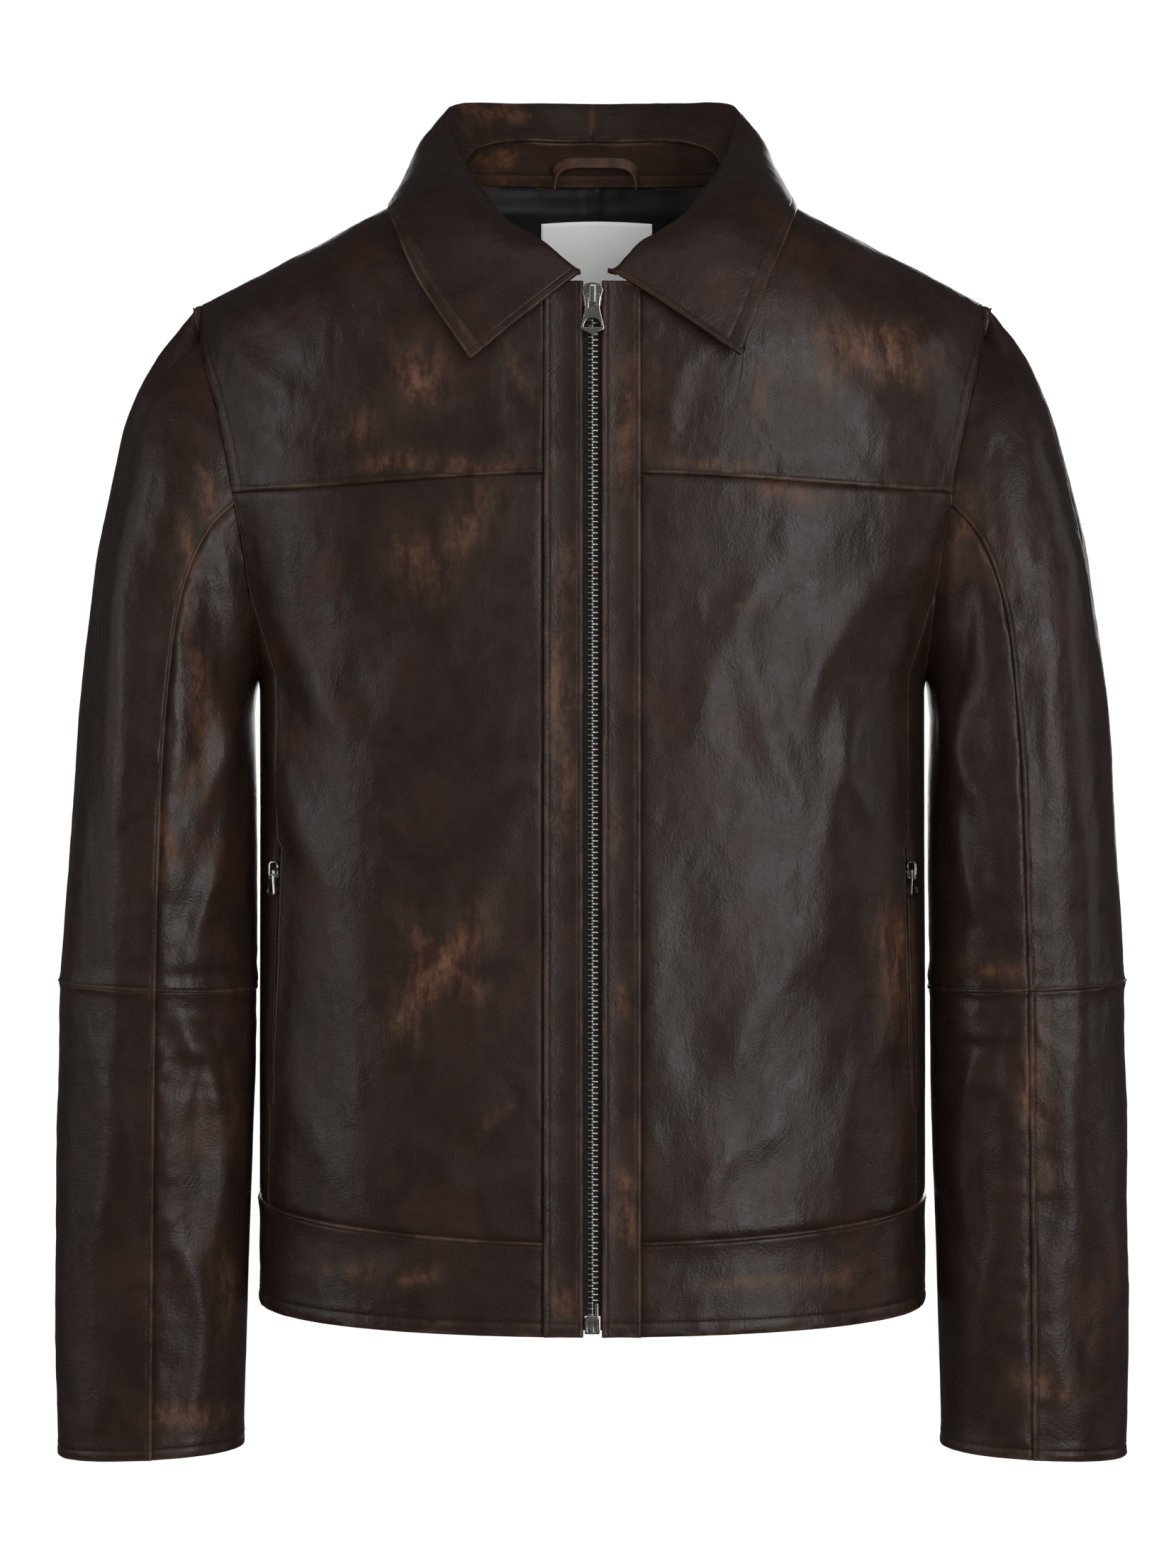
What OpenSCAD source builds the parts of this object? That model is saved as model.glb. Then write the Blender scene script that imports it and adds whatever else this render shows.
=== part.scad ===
// Zip-front leather riding jacket in its worn shape, in millimetres.
// +X is the wearer's left, +Y the wearer's back, +Z up. The design is drawn with its front hem at
// height 0, and every node is then moved so that the origin lies under the arch of the hanger loop.

/* [Torso] */
// Half width of the torso at the hem
hem_half_w = 206; // [202:1:208]
// Half width of the torso at the underarm
chest_half_w = 206; // [203:1:208]
// Depth of the zip in front of the side seams at the hem
zip_foot_d = 122; // [118:1:126]
// How far the zip leans back for each millimetre that it rises
zip_lean = 0.035; // [0.02:0.005:0.04]
// Squareness of the torso section, 2 being an ellipse
torso_n = 2.5; // [2.3:0.1:2.7]
// Height of the front yoke seam
yoke_z = 508; // [503:1:512]
// Height of the hem band's seam at the front
band_z = 56; // [50:1:62]
// Height of the underarm
underarm_z = 393; // [388:1:396]

/* [Shoulders and neck] */
// Height of the shoulder seam where it meets the neck
neck_top_z = 700; // [696:1:704]
// Half width of the neck opening
neck_half_w = 90; // [88:1:92]
// Half width across the shoulder seams
shoulder_half_w = 248; // [246:1:250]
// Height of the shoulder tip
shoulder_z = 621; // [618:1:624]
// How far behind the side seams the shoulder seam lies
ridge_y = 5; // [0:1:10]

/* [Leather and lining] */
// Thickness of the leather
leather_t = 1.2; // [1:0.1:1.6]
// Width of the gap drawn at each seam
seam_gap = 1.6; // [1.4:0.1:2]
// Depth of the lining behind the leather's face
lining_in = 10; // [9:0.5:11]

/* [Main zip] */
// Distance from one tooth to the next on one side
tooth_pitch = 4; // [3.8:0.1:4.2]
// Half width of the closed chain
chain_half_w = 3.4; // [3.2:0.1:3.6]
// Half width of the gap between the plackets
placket_gap = 6; // [5.8:0.1:6.4]
// Half width across both plackets
placket_half_w = 28; // [26:1:30]
// Length of the chain
chain_len = 584; // [564:4:584]

/* [Pocket zips] */
// Height of the foot of the pocket zip
pocket_z0 = 134; // [130:1:140]
// Length of the pocket zip
pocket_len = 150; // [140:2:154]

/* [Hidden] */

LOOP_AT = [0, 75, 719];
LEATHER = "#2e2320";
SATIN = "#141416";
METAL = "#b9b9b6";
half_gap = seam_gap / 2;
side_ease = 0.4;

// Torso half width by height. Above the underarm the side is cut away by the armhole.
HALF_W = [
    [0, hem_half_w], [150, chest_half_w + 0.5], [underarm_z, chest_half_w],
    [450, chest_half_w + 17], [yoke_z, chest_half_w + 37]
];
BACK_D = [[0, 110], [150, 108], [300, 112], [450, 120], [yoke_z, 118]];
// Half width of the armhole edge by height
ARM_X = [
    [underarm_z, chest_half_w], [405, chest_half_w + 0.6], [430, 208.5], [450, 210], [470, 212.5],
    [499, 217.5], [530, 223.5], [560, 231], [590, 239.5], [shoulder_z, shoulder_half_w]
];
// Height of the armhole edge over the side panel, by angle round the torso
ARM_TOP = [[60, 470], [64, 450], [67, 430], [75, 404], [90, underarm_z], [105, 404], [113, 430], [116, 450], [120, 470]];
// Angle of the seam that holds the pocket zip, by height
POCKET_U = [[50, 68], [134, 66.6], [284, 62.8], [360, 62.5], [440, 64.4]];
// Half width of that seam's opening, by height
POCKET_SLOT = [[126, half_gap], [132, 5.5], [288, 5.5], [294, half_gap]];
side_back_u = 114;

// Axis on which each front folds open, and the fold's half width by height
FOLD_FOOT = [160, -104, 0];
FOLD_TOP = [60, -104, 665];

// Half width of the neck seam at eleven stations from the throat round to the centre back,
// then the collar's fold and its outer edge at the same stations
NECK_X = [9, 22, 38, 55, 70, 82, neck_half_w, 88, 76, 46, 0];
side_station = 6;
FOLD_LINE = [[8, -105, 631], [26, -100, 648], [40, -90, 658], [52, -78, 668], [66, -55, 687],
    [78, -28, 706], [87, 4, 729], [90, 26, 747], [80, 48, 757], [47, 73, 761], [0, 83, 762]];
EDGE_LINE = [[79, -114, 579], [93, -109, 606], [106, -100, 633], [115, -89, 655], [121, -71, 674],
    [125, -41, 685], [126, -4, 692], [118, 30, 699], [97, 66, 704], [52, 91, 712], [0, 98, 715]];
wing_end = 3.35;

// Sleeve stations: outer x and z, inner x and z, centre y, half depth, bow
UPPER_SLEEVE = [
    [251, 621, 209, 392, 3, 62, 10], [265, 594, 209.5, 387, 3, 66, 5], [281, 560, 210, 379, 3, 69, 2],
    [296, 510, 210.5, 367, 2, 71, 0], [306, 461, 211, 350, 1, 71, 0], [317.5, 374, 211.5, 318, 0, 69, 0],
    [325, 279, 212, 258, 0, 64, 0], [330, 206.5, 212.5, 201, 0, 58, 0]
];
LOWER_SLEEVE = [
    [330, 204.5, 212.5, 199, 0, 58, 0], [331, 130, 213, 126, -3, 53, 0], [330.5, 40, 214, 38, -8, 47, 0],
    [329.5, -87.5, 216, -82, -14, 42, 0]
];
sleeve_front_u = 95;
sleeve_back_u = 245;

// Directions of the straight zips
zip_tilt = -atan(zip_lean);
placket_len = 622;
slider_rest = 619;

function mix(a, b, t) = a + (b - a) * t;
function unit(v) = v / norm(v);
function steps(n) = [for (i = [0 : n]) i / n];
// Smooth curve through the points p, with t counting points
function curve(p, t) =
    let (last = len(p) - 1, i = min(floor(t), last - 1), f = t - i,
        a = p[max(i - 1, 0)], b = p[i], c = p[i + 1], d = p[min(i + 2, last)])
    0.5 * (2 * b + (c - a) * f + (2 * a - 5 * b + 4 * c - d) * f * f + (3 * b - a - 3 * c + d) * f * f * f);

// ---- surfaces ----
function round_k(s, c, n) = 1 / pow(pow(abs(s), n) + pow(abs(c), n), 1 / n);
function rest_of(r, n) = pow(max(0, 1 - pow(min(abs(r), 1), n)), 1 / n);
function half_w(z) = lookup(z, HALF_W);
function front_d(z) = zip_foot_d - zip_lean * z;
function depth(z, back) = back ? lookup(z, BACK_D) : front_d(z);
// Torso up to the yoke seam: u is 0 at the centre front, 90 at the side and 180 at the centre back
function torso(u, z) =
    let (s = sin(u), c = cos(u), k = round_k(s, c, torso_n))
    [half_w(z) * s * k, -depth(z, c < 0) * c * k, z];
function torso_u(x, z) = let (r = x / half_w(z)) atan2(r, rest_of(r, torso_n));
// Height that the front or back profile over half width x would reach above the shoulder seam's line
function ridge_z(x, back) = x < neck_half_w
    ? neck_top_z + (back ? 56 * rest_of(x / neck_half_w, 2.5) : (neck_half_w - x) * 0.15)
    : neck_top_z - (x - neck_half_w) * (neck_top_z - shoulder_z) / (shoulder_half_w - neck_half_w);
function yoke_n(x, back) = (back ? 3 : 4.3) - (back ? 0.8 : 2.1) * x / shoulder_half_w;
function chest_d(x, back) = depth(yoke_z, back) * rest_of(x / half_w(yoke_z), torso_n);
// Torso above the yoke seam: v is 0 at the yoke seam and 90 on the shoulder seam
function upper(x, v, back) =
    let (ax = abs(x), k = round_k(sin(v), cos(v), yoke_n(ax, back)), f = back ? 1 : -1)
    [x, ridge_y + f * ((chest_d(ax, back) - f * ridge_y) * cos(v) * k + (half_gap + 0.6) * sin(v)),
        yoke_z + (ridge_z(ax, back) - yoke_z) * sin(v) * k];
// v at a height over half width x
function upper_v(x, z, back) =
    let (r = (z - yoke_z) / (ridge_z(x, back) - yoke_z)) atan2(r, rest_of(r, yoke_n(x, back)));
// v at the neck seam over half width x; 90 where the shoulder seam is the edge
function neck_v(x, back) =
    let (n = yoke_n(x, back), reach = back ? 70 : 106, shape = back ? 2 : 3,
        q = min(1, reach * rest_of(x / neck_half_w, shape) / (chest_d(x, back) - (back ? 1 : -1) * ridge_y)))
    x >= neck_half_w ? 90 : atan2(rest_of(q, n), q);
function arm_x(z) = lookup(z, ARM_X);
function arm_x_at_v(v) = arm_x(upper(234, v, false)[2]);
function fold_x(z) = mix(FOLD_FOOT[0], FOLD_TOP[0], z / FOLD_TOP[2]);
function side_u(z) = z < underarm_z ? 90 : torso_u(arm_x(z), z);
function hem_z(u) = 5.5 * pow(sin(u), 2);
function band_top(u) = band_z + 16 * pow(sin(u), 2);
// A sleeve's point: t counts stations, and a is 0 on the outside, 90 in front and 180 inside
function sleeve(stations, t, a) =
    let (s = curve(stations, t), c = cos(a), f = sin(a), k = round_k(c, f, 2.2))
    [mix(s[2], s[0], 0.5 + 0.5 * c * k) - s[6] * pow(f, 2), s[4] - s[5] * f * k, mix(s[3], s[1], 0.5 + 0.5 * c * k)];

// ---- solids from grids of points ----
function grid_normal(g, i, j) =
    let (m = len(g) - 1, n = len(g[0]) - 1)
    unit(cross(g[min(i + 1, m)][j] - g[max(i - 1, 0)][j], g[i][min(j + 1, n)] - g[i][max(j - 1, 0)]));
function pushed(g, d) = [for (i = [0 : len(g) - 1]) [for (j = [0 : len(g[0]) - 1]) g[i][j] + grid_normal(g, i, j) * d]];
// A closed sheet between two grids of the same size
module sheet(a, b) {
    m = len(a);
    n = len(a[0]);
    at = function (k, i, j) k * m * n + i * n + j;
    two = function (p, q, r, s) [[p, q, r], [p, r, s]];
    faces = concat(
        [for (i = [0 : m - 2], j = [0 : n - 2]) each two(at(0, i, j), at(0, i, j + 1), at(0, i + 1, j + 1), at(0, i + 1, j))],
        [for (i = [0 : m - 2], j = [0 : n - 2]) each two(at(1, i, j), at(1, i + 1, j), at(1, i + 1, j + 1), at(1, i, j + 1))],
        [for (i = [0 : m - 2]) each two(at(0, i, 0), at(0, i + 1, 0), at(1, i + 1, 0), at(1, i, 0))],
        [for (i = [0 : m - 2]) each two(at(0, i, n - 1), at(1, i, n - 1), at(1, i + 1, n - 1), at(0, i + 1, n - 1))],
        [for (j = [0 : n - 2]) each two(at(0, 0, j), at(1, 0, j), at(1, 0, j + 1), at(0, 0, j + 1))],
        [for (j = [0 : n - 2]) each two(at(0, m - 1, j), at(0, m - 1, j + 1), at(1, m - 1, j + 1), at(1, m - 1, j))]
    );
    polyhedron(concat([for (r = a) each r], [for (r = b) each r]), faces);
}
// A sheet t thick whose face lies at depth d behind the grid
module skin(g, d = 0, t = leather_t) sheet(pushed(g, -d), pushed(g, -d - t));
module shown_from_loop() translate(-LOOP_AT) children();
module on_side(left) {
    shown_from_loop()
        if (left) children();
        else mirror([1, 0, 0]) children();
}

// ---- torso panels, drawn for the wearer's left ----
function lower_grid(u0, u1, rows, cols, top) =
    [for (s = steps(cols)) [for (t = steps(rows))
        let (z_mid = mix(band_z + 10, top, t), near = mix(u0(z_mid), u1(z_mid), s),
            z = mix(band_top(near) + half_gap, top - half_gap, t))
        torso(mix(u0(z), u1(z), s), z)]];
function band_grid(u0, u1, cols) =
    [for (s = steps(cols)) [for (t = [0, 0.5, 1])
        let (u = mix(u0, u1, s)) torso(u, mix(hem_z(u), band_top(u) - half_gap, t))]];

module back_panel() color(LEATHER) shown_from_loop() skin(
    [for (s = steps(16)) [for (t = steps(8))
        let (z = mix(band_z, yoke_z - half_gap, t), limit = z < 450 ? side_back_u : 180 - side_u(z),
            edge = max(side_back_u, limit) + 0.6, u = mix(edge, 360 - edge, s),
            zz = mix(band_top(u) + half_gap, yoke_z - half_gap, t))
        torso(u, zz)]]);
module back_yoke() color(LEATHER) shown_from_loop() skin(
    [for (s = steps(18)) [for (t = steps(6))
        let (x = (1 - 2 * s) * (arm_x_at_v(90 * t) - half_gap), v0 = 0.5)
        upper(x, mix(v0, neck_v(abs(x), true) - (abs(x) < neck_half_w ? 1.5 : 0), t), true)]]);
module back_hem_band() color(LEATHER) shown_from_loop() skin(band_grid(90.4, 269.6, 18));
module back_lining() color(SATIN) shown_from_loop() {
    skin([for (s = steps(14)) [for (t = steps(5))
        let (z = mix(20, yoke_z - 1, t), edge = max(92, z > 400 ? 181 - side_u(z) : 92))
        torso(mix(edge, 360 - edge, s), z)]], lining_in, 0.8);
    skin([for (s = steps(14)) [for (t = steps(5))
        let (x = (1 - 2 * s) * (arm_x_at_v(90 * t) - 12))
        upper(x, mix(1.5, min(78, neck_v(abs(x), true) - 19), t), true)]], lining_in, 0.8);
}
// Half the pocket seam's opening at a height, as an angle
function slot_u(z) = lookup(z, POCKET_SLOT) * 0.46;
SEAM_ROWS = [78, 95, 126, 132, 180, 240, 288, 294, 340];
module side_panel(left) color(LEATHER) on_side(left) skin(
    [for (s = steps(6)) concat(
        [for (z = SEAM_ROWS)
            let (u = mix(lookup(z, POCKET_U) + slot_u(z), side_back_u - 0.2, s))
            torso(u, z == SEAM_ROWS[0] ? band_top(u) + half_gap : z)],
        [for (t = [0.4, 0.75, 1])
            let (u = mix(lookup(mix(340, 440, t), POCKET_U) + 2 * slot_u(340), side_back_u - 0.2, s))
            torso(u, mix(340, lookup(u, ARM_TOP) - half_gap, t))]
    )]);
module front_panel_outer(left) color(LEATHER) on_side(left) skin(
    [for (s = steps(4)) [for (z = concat(SEAM_ROWS, [400, 437, 470, yoke_z - half_gap]))
        let (foot = z == SEAM_ROWS[0],
            edge = z < 437 ? lookup(z, POCKET_U) - slot_u(z) : min(65, side_u(z)) - 0.4,
            near = mix(torso_u(fold_x(68), 68), edge, s),
            z_here = foot ? band_top(near) + half_gap : z)
        torso(mix(torso_u(fold_x(z_here) + half_gap, z_here), edge, s), z_here)]]);
module front_panel_inner(left) color(LEATHER) on_side(left) skin(
    lower_grid(function (z) torso_u(placket_half_w + 0.8, z), function (z) torso_u(fold_x(z) - half_gap, z), 9, 4, yoke_z));
module front_yoke_outer(left) color(LEATHER) on_side(left) skin(
    [for (s = steps(6)) [for (t = steps(7))
        let (z_mid = mix(yoke_z, neck_top_z, t),
            x = mix(fold_x(z_mid) + half_gap, arm_x_at_v(90 * t) - half_gap, s))
        upper(x, mix(0.5, neck_v(x, false) - (x < neck_half_w ? 2.5 : 0), t), false)]]);
module front_yoke_inner(left) color(LEATHER) on_side(left) skin(
    [for (s = steps(5)) [for (t = steps(7))
        let (x = mix(placket_half_w + 0.8, fold_x(mix(yoke_z, neck_top_z, t)) - half_gap, s))
        upper(x, mix(0.5, neck_v(x, false) - 2.5, t), false)]]);
module hem_band_outer(left) color(LEATHER) on_side(left) skin(
    band_grid(torso_u(fold_x(30) + half_gap, 30), 89.6, 6));
module hem_band_inner(left) color(LEATHER) on_side(left) skin(
    band_grid(torso_u(placket_half_w + 0.8, 30), torso_u(fold_x(30) - half_gap, 30), 4));
module front_lining(left) color(SATIN) on_side(left) {
    skin([for (s = steps(6)) [for (t = steps(6))
        let (z = mix(20, yoke_z - 1, t), edge = z > 400 ? side_u(z) - 1 : 88)
        torso(mix(torso_u(fold_x(z) + 3, z), edge, s), z)]], lining_in, 0.8);
    skin([for (s = steps(5)) [for (t = steps(5))
        let (x = mix(fold_x(mix(yoke_z, neck_top_z, t)) + 3, arm_x_at_v(90 * t) - 12, s))
        upper(x, mix(1.5, min(78, neck_v(x, false) - 8), t), false)]], lining_in, 0.8);
}
module front_facing(left) color(LEATHER) on_side(left) {
    skin([for (s = steps(4)) [for (t = steps(6))
        let (z = mix(8, yoke_z - 1, t))
        torso(mix(torso_u(7, z), torso_u(fold_x(z) - 5, z), s), z)]], 6, 1);
    skin([for (s = steps(4)) [for (t = steps(4))
        let (x = mix(7, fold_x(mix(yoke_z, neck_top_z, t)) - 5, s))
        upper(x, mix(1.5, neck_v(x, false) - 8, t), false)]], 6, 1);
}

// ---- collar and neck ----
neck_line = [for (i = [0 : len(NECK_X) - 1])
    upper(NECK_X[i], neck_v(NECK_X[i], i > side_station), i > side_station)];
// t runs from 0 at the left of the throat, past 10 at the centre back, to 20 at the right
function collar_row(t) =
    let (n = curve(neck_line, t), f = curve(FOLD_LINE, t), e = curve(EDGE_LINE, t),
        flat = norm([e[0] - f[0], e[1] - f[1]]) / norm(e - f), lift = [0, 0, flat])
    [n + [0, 0, 1.4], mix(n, f, 0.5) - 1.5 * lift, f - [0, 0, 1.8], f, mix(f, e, 0.06) + 5 * lift,
        mix(f, e, 0.35) + 16 * lift, mix(f, e, 0.7) + 9 * lift, e];
function collar_grid(t0, t1, cols) =
    [for (s = steps(cols)) let (t = mix(t0, t1, s))
        t <= 10 ? collar_row(t) : [for (p = collar_row(20 - t)) [-p[0], p[1], p[2]]]];
module collar_wing(left) color(LEATHER) on_side(left)
    skin(collar_grid(0, wing_end - 0.12, 8), 0, 1.6);
module collar_back() color(LEATHER) shown_from_loop()
    skin(collar_grid(wing_end + 0.12, 19.88 - wing_end, 26), 0, 1.6);
module neck_facing() color(LEATHER) shown_from_loop()
    skin([for (s = steps(12)) let (x = (1 - 2 * s) * 58)
        [for (t = [0, 0.5, 1]) upper(x, neck_v(abs(x), true) - mix(21, 4, t), true)]], 4.4, 1);
module hanger_loop() color(LEATHER) shown_from_loop() {
    // flat arch that stands a hook's width in front of the facing, and its two sewn ends
    translate([0, 75.7, 0]) rotate([90, 0, 0]) linear_extrude(1.4) difference() {
        hull() {
            translate([-27, 702]) square([54, 2]);
            translate([-18, 719]) circle(6, $fn = 40);
            translate([18, 719]) circle(6, $fn = 40);
        }
        translate([0, -0.1]) hull() {
            translate([-20.5, 701]) square([41, 2]);
            translate([-15, 716]) circle(3, $fn = 40);
            translate([15, 716]) circle(3, $fn = 40);
        }
    }
    for (side = [-1, 1])
        translate([side * 23.7 - 3, 75.2, 701.5]) cube([6, 7, 5]);
}
module neck_label() color("#dcdad6") shown_from_loop() skin(
    [for (s = steps(4)) [for (t = steps(4)) let (x = (1 - 2 * s) * 36.5)
        upper(x, upper_v(abs(x), mix(640, 687, t), true), true)]], 13, 0.8);

// ---- main zip, in a frame whose Z runs up the chain ----
module zip_frame() translate([0, -zip_foot_d, 0]) rotate([zip_tilt, 0, 0]) children();
module slider_frame() zip_frame() translate([0, 0, slider_rest]) children();
module on_zip(left) shown_from_loop() zip_frame()
    if (left) children();
    else mirror([1, 0, 0]) children();

module placket(left) color(LEATHER) on_zip(left) {
    translate([placket_gap, -3.4, 0]) cube([placket_half_w - placket_gap, leather_t, placket_len]);
    translate([placket_half_w - 1.5, -2.2, 0]) cube([1.5, 1, placket_len]);
}
module zip_tape(left) color("#1a1412") on_zip(left)
    translate([chain_half_w + 0.05, -0.3, 4]) cube([11.6, 0.6, placket_len - 6]);
module zip_teeth(left) color(METAL) on_zip(left) {
    first = left ? 22 : 24;
    for (z = [first : tooth_pitch : first + chain_len])
        translate([-0.9, -1.5, z]) cube([chain_half_w + 0.9, 3, 1.5]);
}
module zip_pin() color(METAL) shown_from_loop() zip_frame()
    translate([1.4, -0.9, 3]) cube([2, 1.8, 17]);
// The box stays on the right tape, and its channel is open on the left, where the pin comes away
module zip_box() color(METAL) shown_from_loop() zip_frame() difference() {
    translate([-4.2, -2.4, 2]) cube([8.2, 4.8, 17.4]);
    translate([1.1, -1.5, 1]) cube([5, 3, 20]);
    translate([-5, -0.6, 1]) cube([2.4, 1.2, 20]);
}
// Slider of half width w: two plates, their flanges, the post between them and the arch for the pull
module slider_body(w, flange_x, len, post = true) {
    difference() {
        hull() {
            translate([-w + 1.2, -5, -len / 2]) cube([2 * w - 2.4, 1.1, len]);
            translate([-w, -5, -len / 2 + 3]) cube([2 * w, 1.1, len - 5]);
        }
        translate([0, 0, -len]) cube(0.01);
    }
    translate([-flange_x, 2.6, -len / 2]) cube([2 * flange_x, 0.9, len]);
    for (side = [-1, 1], y = [-4, 0.9])
        translate([side * (flange_x - 0.5) - 0.5, y, -len / 2]) cube([1, y < 0 ? 3.1 : 1.8, len]);
    if (post) translate([-0.8, -4, len / 2 - 2.6]) cube([1.6, 6.7, 2.4]);
    for (z = [-5.1, 3.9]) translate([-1.2, -8.2, z]) cube([2.4, 3.4, 1.2]);
    translate([-1.2, -9, -5.1]) cube([2.4, 1, 10.2]);
}
// Pull tab that hangs from a round crossbar at the origin: a bell-shaped plate with a slot and a D-shaped hole
module pull_tab(w, len) {
    rotate([0, 90, 0]) cylinder(r = 0.9, h = 6.4, center = true, $fn = 32);
    rotate([90, 0, 0]) translate([0, 0, -0.7]) linear_extrude(1.4) difference() {
        union() {
            translate([-3.2, -10]) square([6.4, 10]);
            polygon([[-3.2, -9.9], [3.2, -9.9], [w, -len + 5], [w, -len + 3.4], [0, -len], [-w, -len + 3.4], [-w, -len + 5]]);
        }
        translate([-1.9, -8.6]) square([3.8, 7.6]);
        intersection() {
            translate([0, -len + 5.4]) scale([1, 1.15]) circle(w - 1.6, $fn = 48);
            translate([-w, -len + 5.4]) square([2 * w, 9]);
        }
    }
}
module zip_slider() color(METAL) shown_from_loop() slider_frame() slider_body(6.4, 5.3, 14);
module zip_pull() color(METAL) shown_from_loop() slider_frame() translate([0, -6.7, 0]) pull_tab(6.9, 28);

// ---- pocket zips, in a frame whose Z runs up the pocket seam and whose -Y faces out ----
function pocket_point(z) = torso(lookup(z, POCKET_U), z);
pocket_foot = pocket_point(pocket_z0);
pocket_head = pocket_point(pocket_z0 + pocket_len);
pocket_up = unit(pocket_head - pocket_foot);
pocket_turn = 62;
module pocket_frame(left) on_side(left) translate(pocket_foot)
    rotate([asin(-pocket_up[1]), atan2(pocket_up[0], pocket_up[2]), 0]) rotate([0, 0, pocket_turn]) children();
module pocket_zip_tape(left) color("#1a1412") pocket_frame(left)
    for (side = [-1, 1])
        translate([side > 0 ? 2.05 : -8.55, 3.2, 0]) cube([6.5, 0.6, pocket_len]);
module pocket_zip_teeth(left) color(METAL) pocket_frame(left)
    for (side = [-1, 1], z = [3 : 3 : pocket_len - 19])
        translate([side > 0 ? -0.6 : -2, 2.2, z + (side > 0 ? 0 : 1.5)]) cube([2.6, 2.6, 1.1]);
module pocket_slider_frame(left) pocket_frame(left) translate([0, 3.5, pocket_len - 10]) children();
module pocket_slider(left) color(METAL) pocket_slider_frame(left) slider_body(4.4, 3.9, 11);
module pocket_pull(left) color(METAL) pocket_slider_frame(left) translate([0, -6.7, 0]) pull_tab(4.6, 24);
module pocket_bag(left) color(SATIN) on_side(left) skin(
    [for (s = steps(5)) [for (t = steps(4)) let (z = mix(92, 276, t))
        torso(mix(torso_u(fold_x(z) + 8, z), lookup(z, POCKET_U) - 5, s), z)]], 5.4, 1.4);

// ---- sleeves ----
module sleeve_part(left, stations, u0, u1, cols, rows, d = 0, t = leather_t, first = 0) {
    on_side(left) skin([for (r = steps(rows)) [for (s = steps(cols))
        sleeve(stations, mix(first, len(stations) - 1, r), mix(u1, u0, s))]], d, t);
}
module upper_sleeve_outer(left) color(LEATHER)
    sleeve_part(left, UPPER_SLEEVE, sleeve_back_u + 0.7 - 360, sleeve_front_u - 0.7, 12, 10);
module upper_sleeve_under(left) color(LEATHER)
    sleeve_part(left, UPPER_SLEEVE, sleeve_front_u + 0.7, sleeve_back_u - 0.7, 9, 10);
module lower_sleeve_outer(left) color(LEATHER)
    sleeve_part(left, LOWER_SLEEVE, sleeve_back_u + 0.7 - 360, sleeve_front_u - 0.7, 12, 6);
module lower_sleeve_under(left) color(LEATHER)
    sleeve_part(left, LOWER_SLEEVE, sleeve_front_u + 0.7, sleeve_back_u - 0.7, 9, 6);
module upper_sleeve_lining(left) color(SATIN)
    sleeve_part(left, UPPER_SLEEVE, 181, 539, 16, 6, 6, 0.8, 0.6);
module lower_sleeve_lining(left) color(SATIN)
    sleeve_part(left, LOWER_SLEEVE, 181, 539, 16, 4, 6, 0.8);

back_panel();
back_yoke();
back_hem_band();
back_lining();
collar_back();
neck_facing();
hanger_loop();
neck_label();
zip_pin();
zip_box();
zip_slider();
zip_pull();
side_panel(true);  // side_panel_left
side_panel(false);  // side_panel_right
front_panel_outer(true);  // front_panel_outer_left
front_panel_outer(false);  // front_panel_outer_right
front_panel_inner(true);  // front_panel_inner_left
front_panel_inner(false);  // front_panel_inner_right
front_yoke_outer(true);  // front_yoke_outer_left
front_yoke_outer(false);  // front_yoke_outer_right
front_yoke_inner(true);  // front_yoke_inner_left
front_yoke_inner(false);  // front_yoke_inner_right
hem_band_outer(true);  // hem_band_outer_left
hem_band_outer(false);  // hem_band_outer_right
hem_band_inner(true);  // hem_band_inner_left
hem_band_inner(false);  // hem_band_inner_right
front_lining(true);  // front_lining_left
front_lining(false);  // front_lining_right
front_facing(true);  // front_facing_left
front_facing(false);  // front_facing_right
placket(true);  // placket_left
placket(false);  // placket_right
zip_tape(true);  // zip_tape_left
zip_tape(false);  // zip_tape_right
zip_teeth(true);  // zip_teeth_left
zip_teeth(false);  // zip_teeth_right
collar_wing(true);  // collar_wing_left
collar_wing(false);  // collar_wing_right
pocket_bag(true);  // pocket_bag_left
pocket_bag(false);  // pocket_bag_right
pocket_zip_tape(true);  // pocket_zip_tape_left
pocket_zip_tape(false);  // pocket_zip_tape_right
pocket_zip_teeth(true);  // pocket_zip_teeth_left
pocket_zip_teeth(false);  // pocket_zip_teeth_right
pocket_slider(true);  // pocket_slider_left
pocket_slider(false);  // pocket_slider_right
pocket_pull(true);  // pocket_pull_left
pocket_pull(false);  // pocket_pull_right
upper_sleeve_outer(true);  // upper_sleeve_outer_left
upper_sleeve_outer(false);  // upper_sleeve_outer_right
upper_sleeve_under(true);  // upper_sleeve_under_left
upper_sleeve_under(false);  // upper_sleeve_under_right
lower_sleeve_outer(true);  // lower_sleeve_outer_left
lower_sleeve_outer(false);  // lower_sleeve_outer_right
lower_sleeve_under(true);  // lower_sleeve_under_left
lower_sleeve_under(false);  // lower_sleeve_under_right
upper_sleeve_lining(true);  // upper_sleeve_lining_left
upper_sleeve_lining(false);  // upper_sleeve_lining_right
lower_sleeve_lining(true);  // lower_sleeve_lining_left
lower_sleeve_lining(false);  // lower_sleeve_lining_right
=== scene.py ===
"""Looks of the leather riding jacket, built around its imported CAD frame."""

import math

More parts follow.
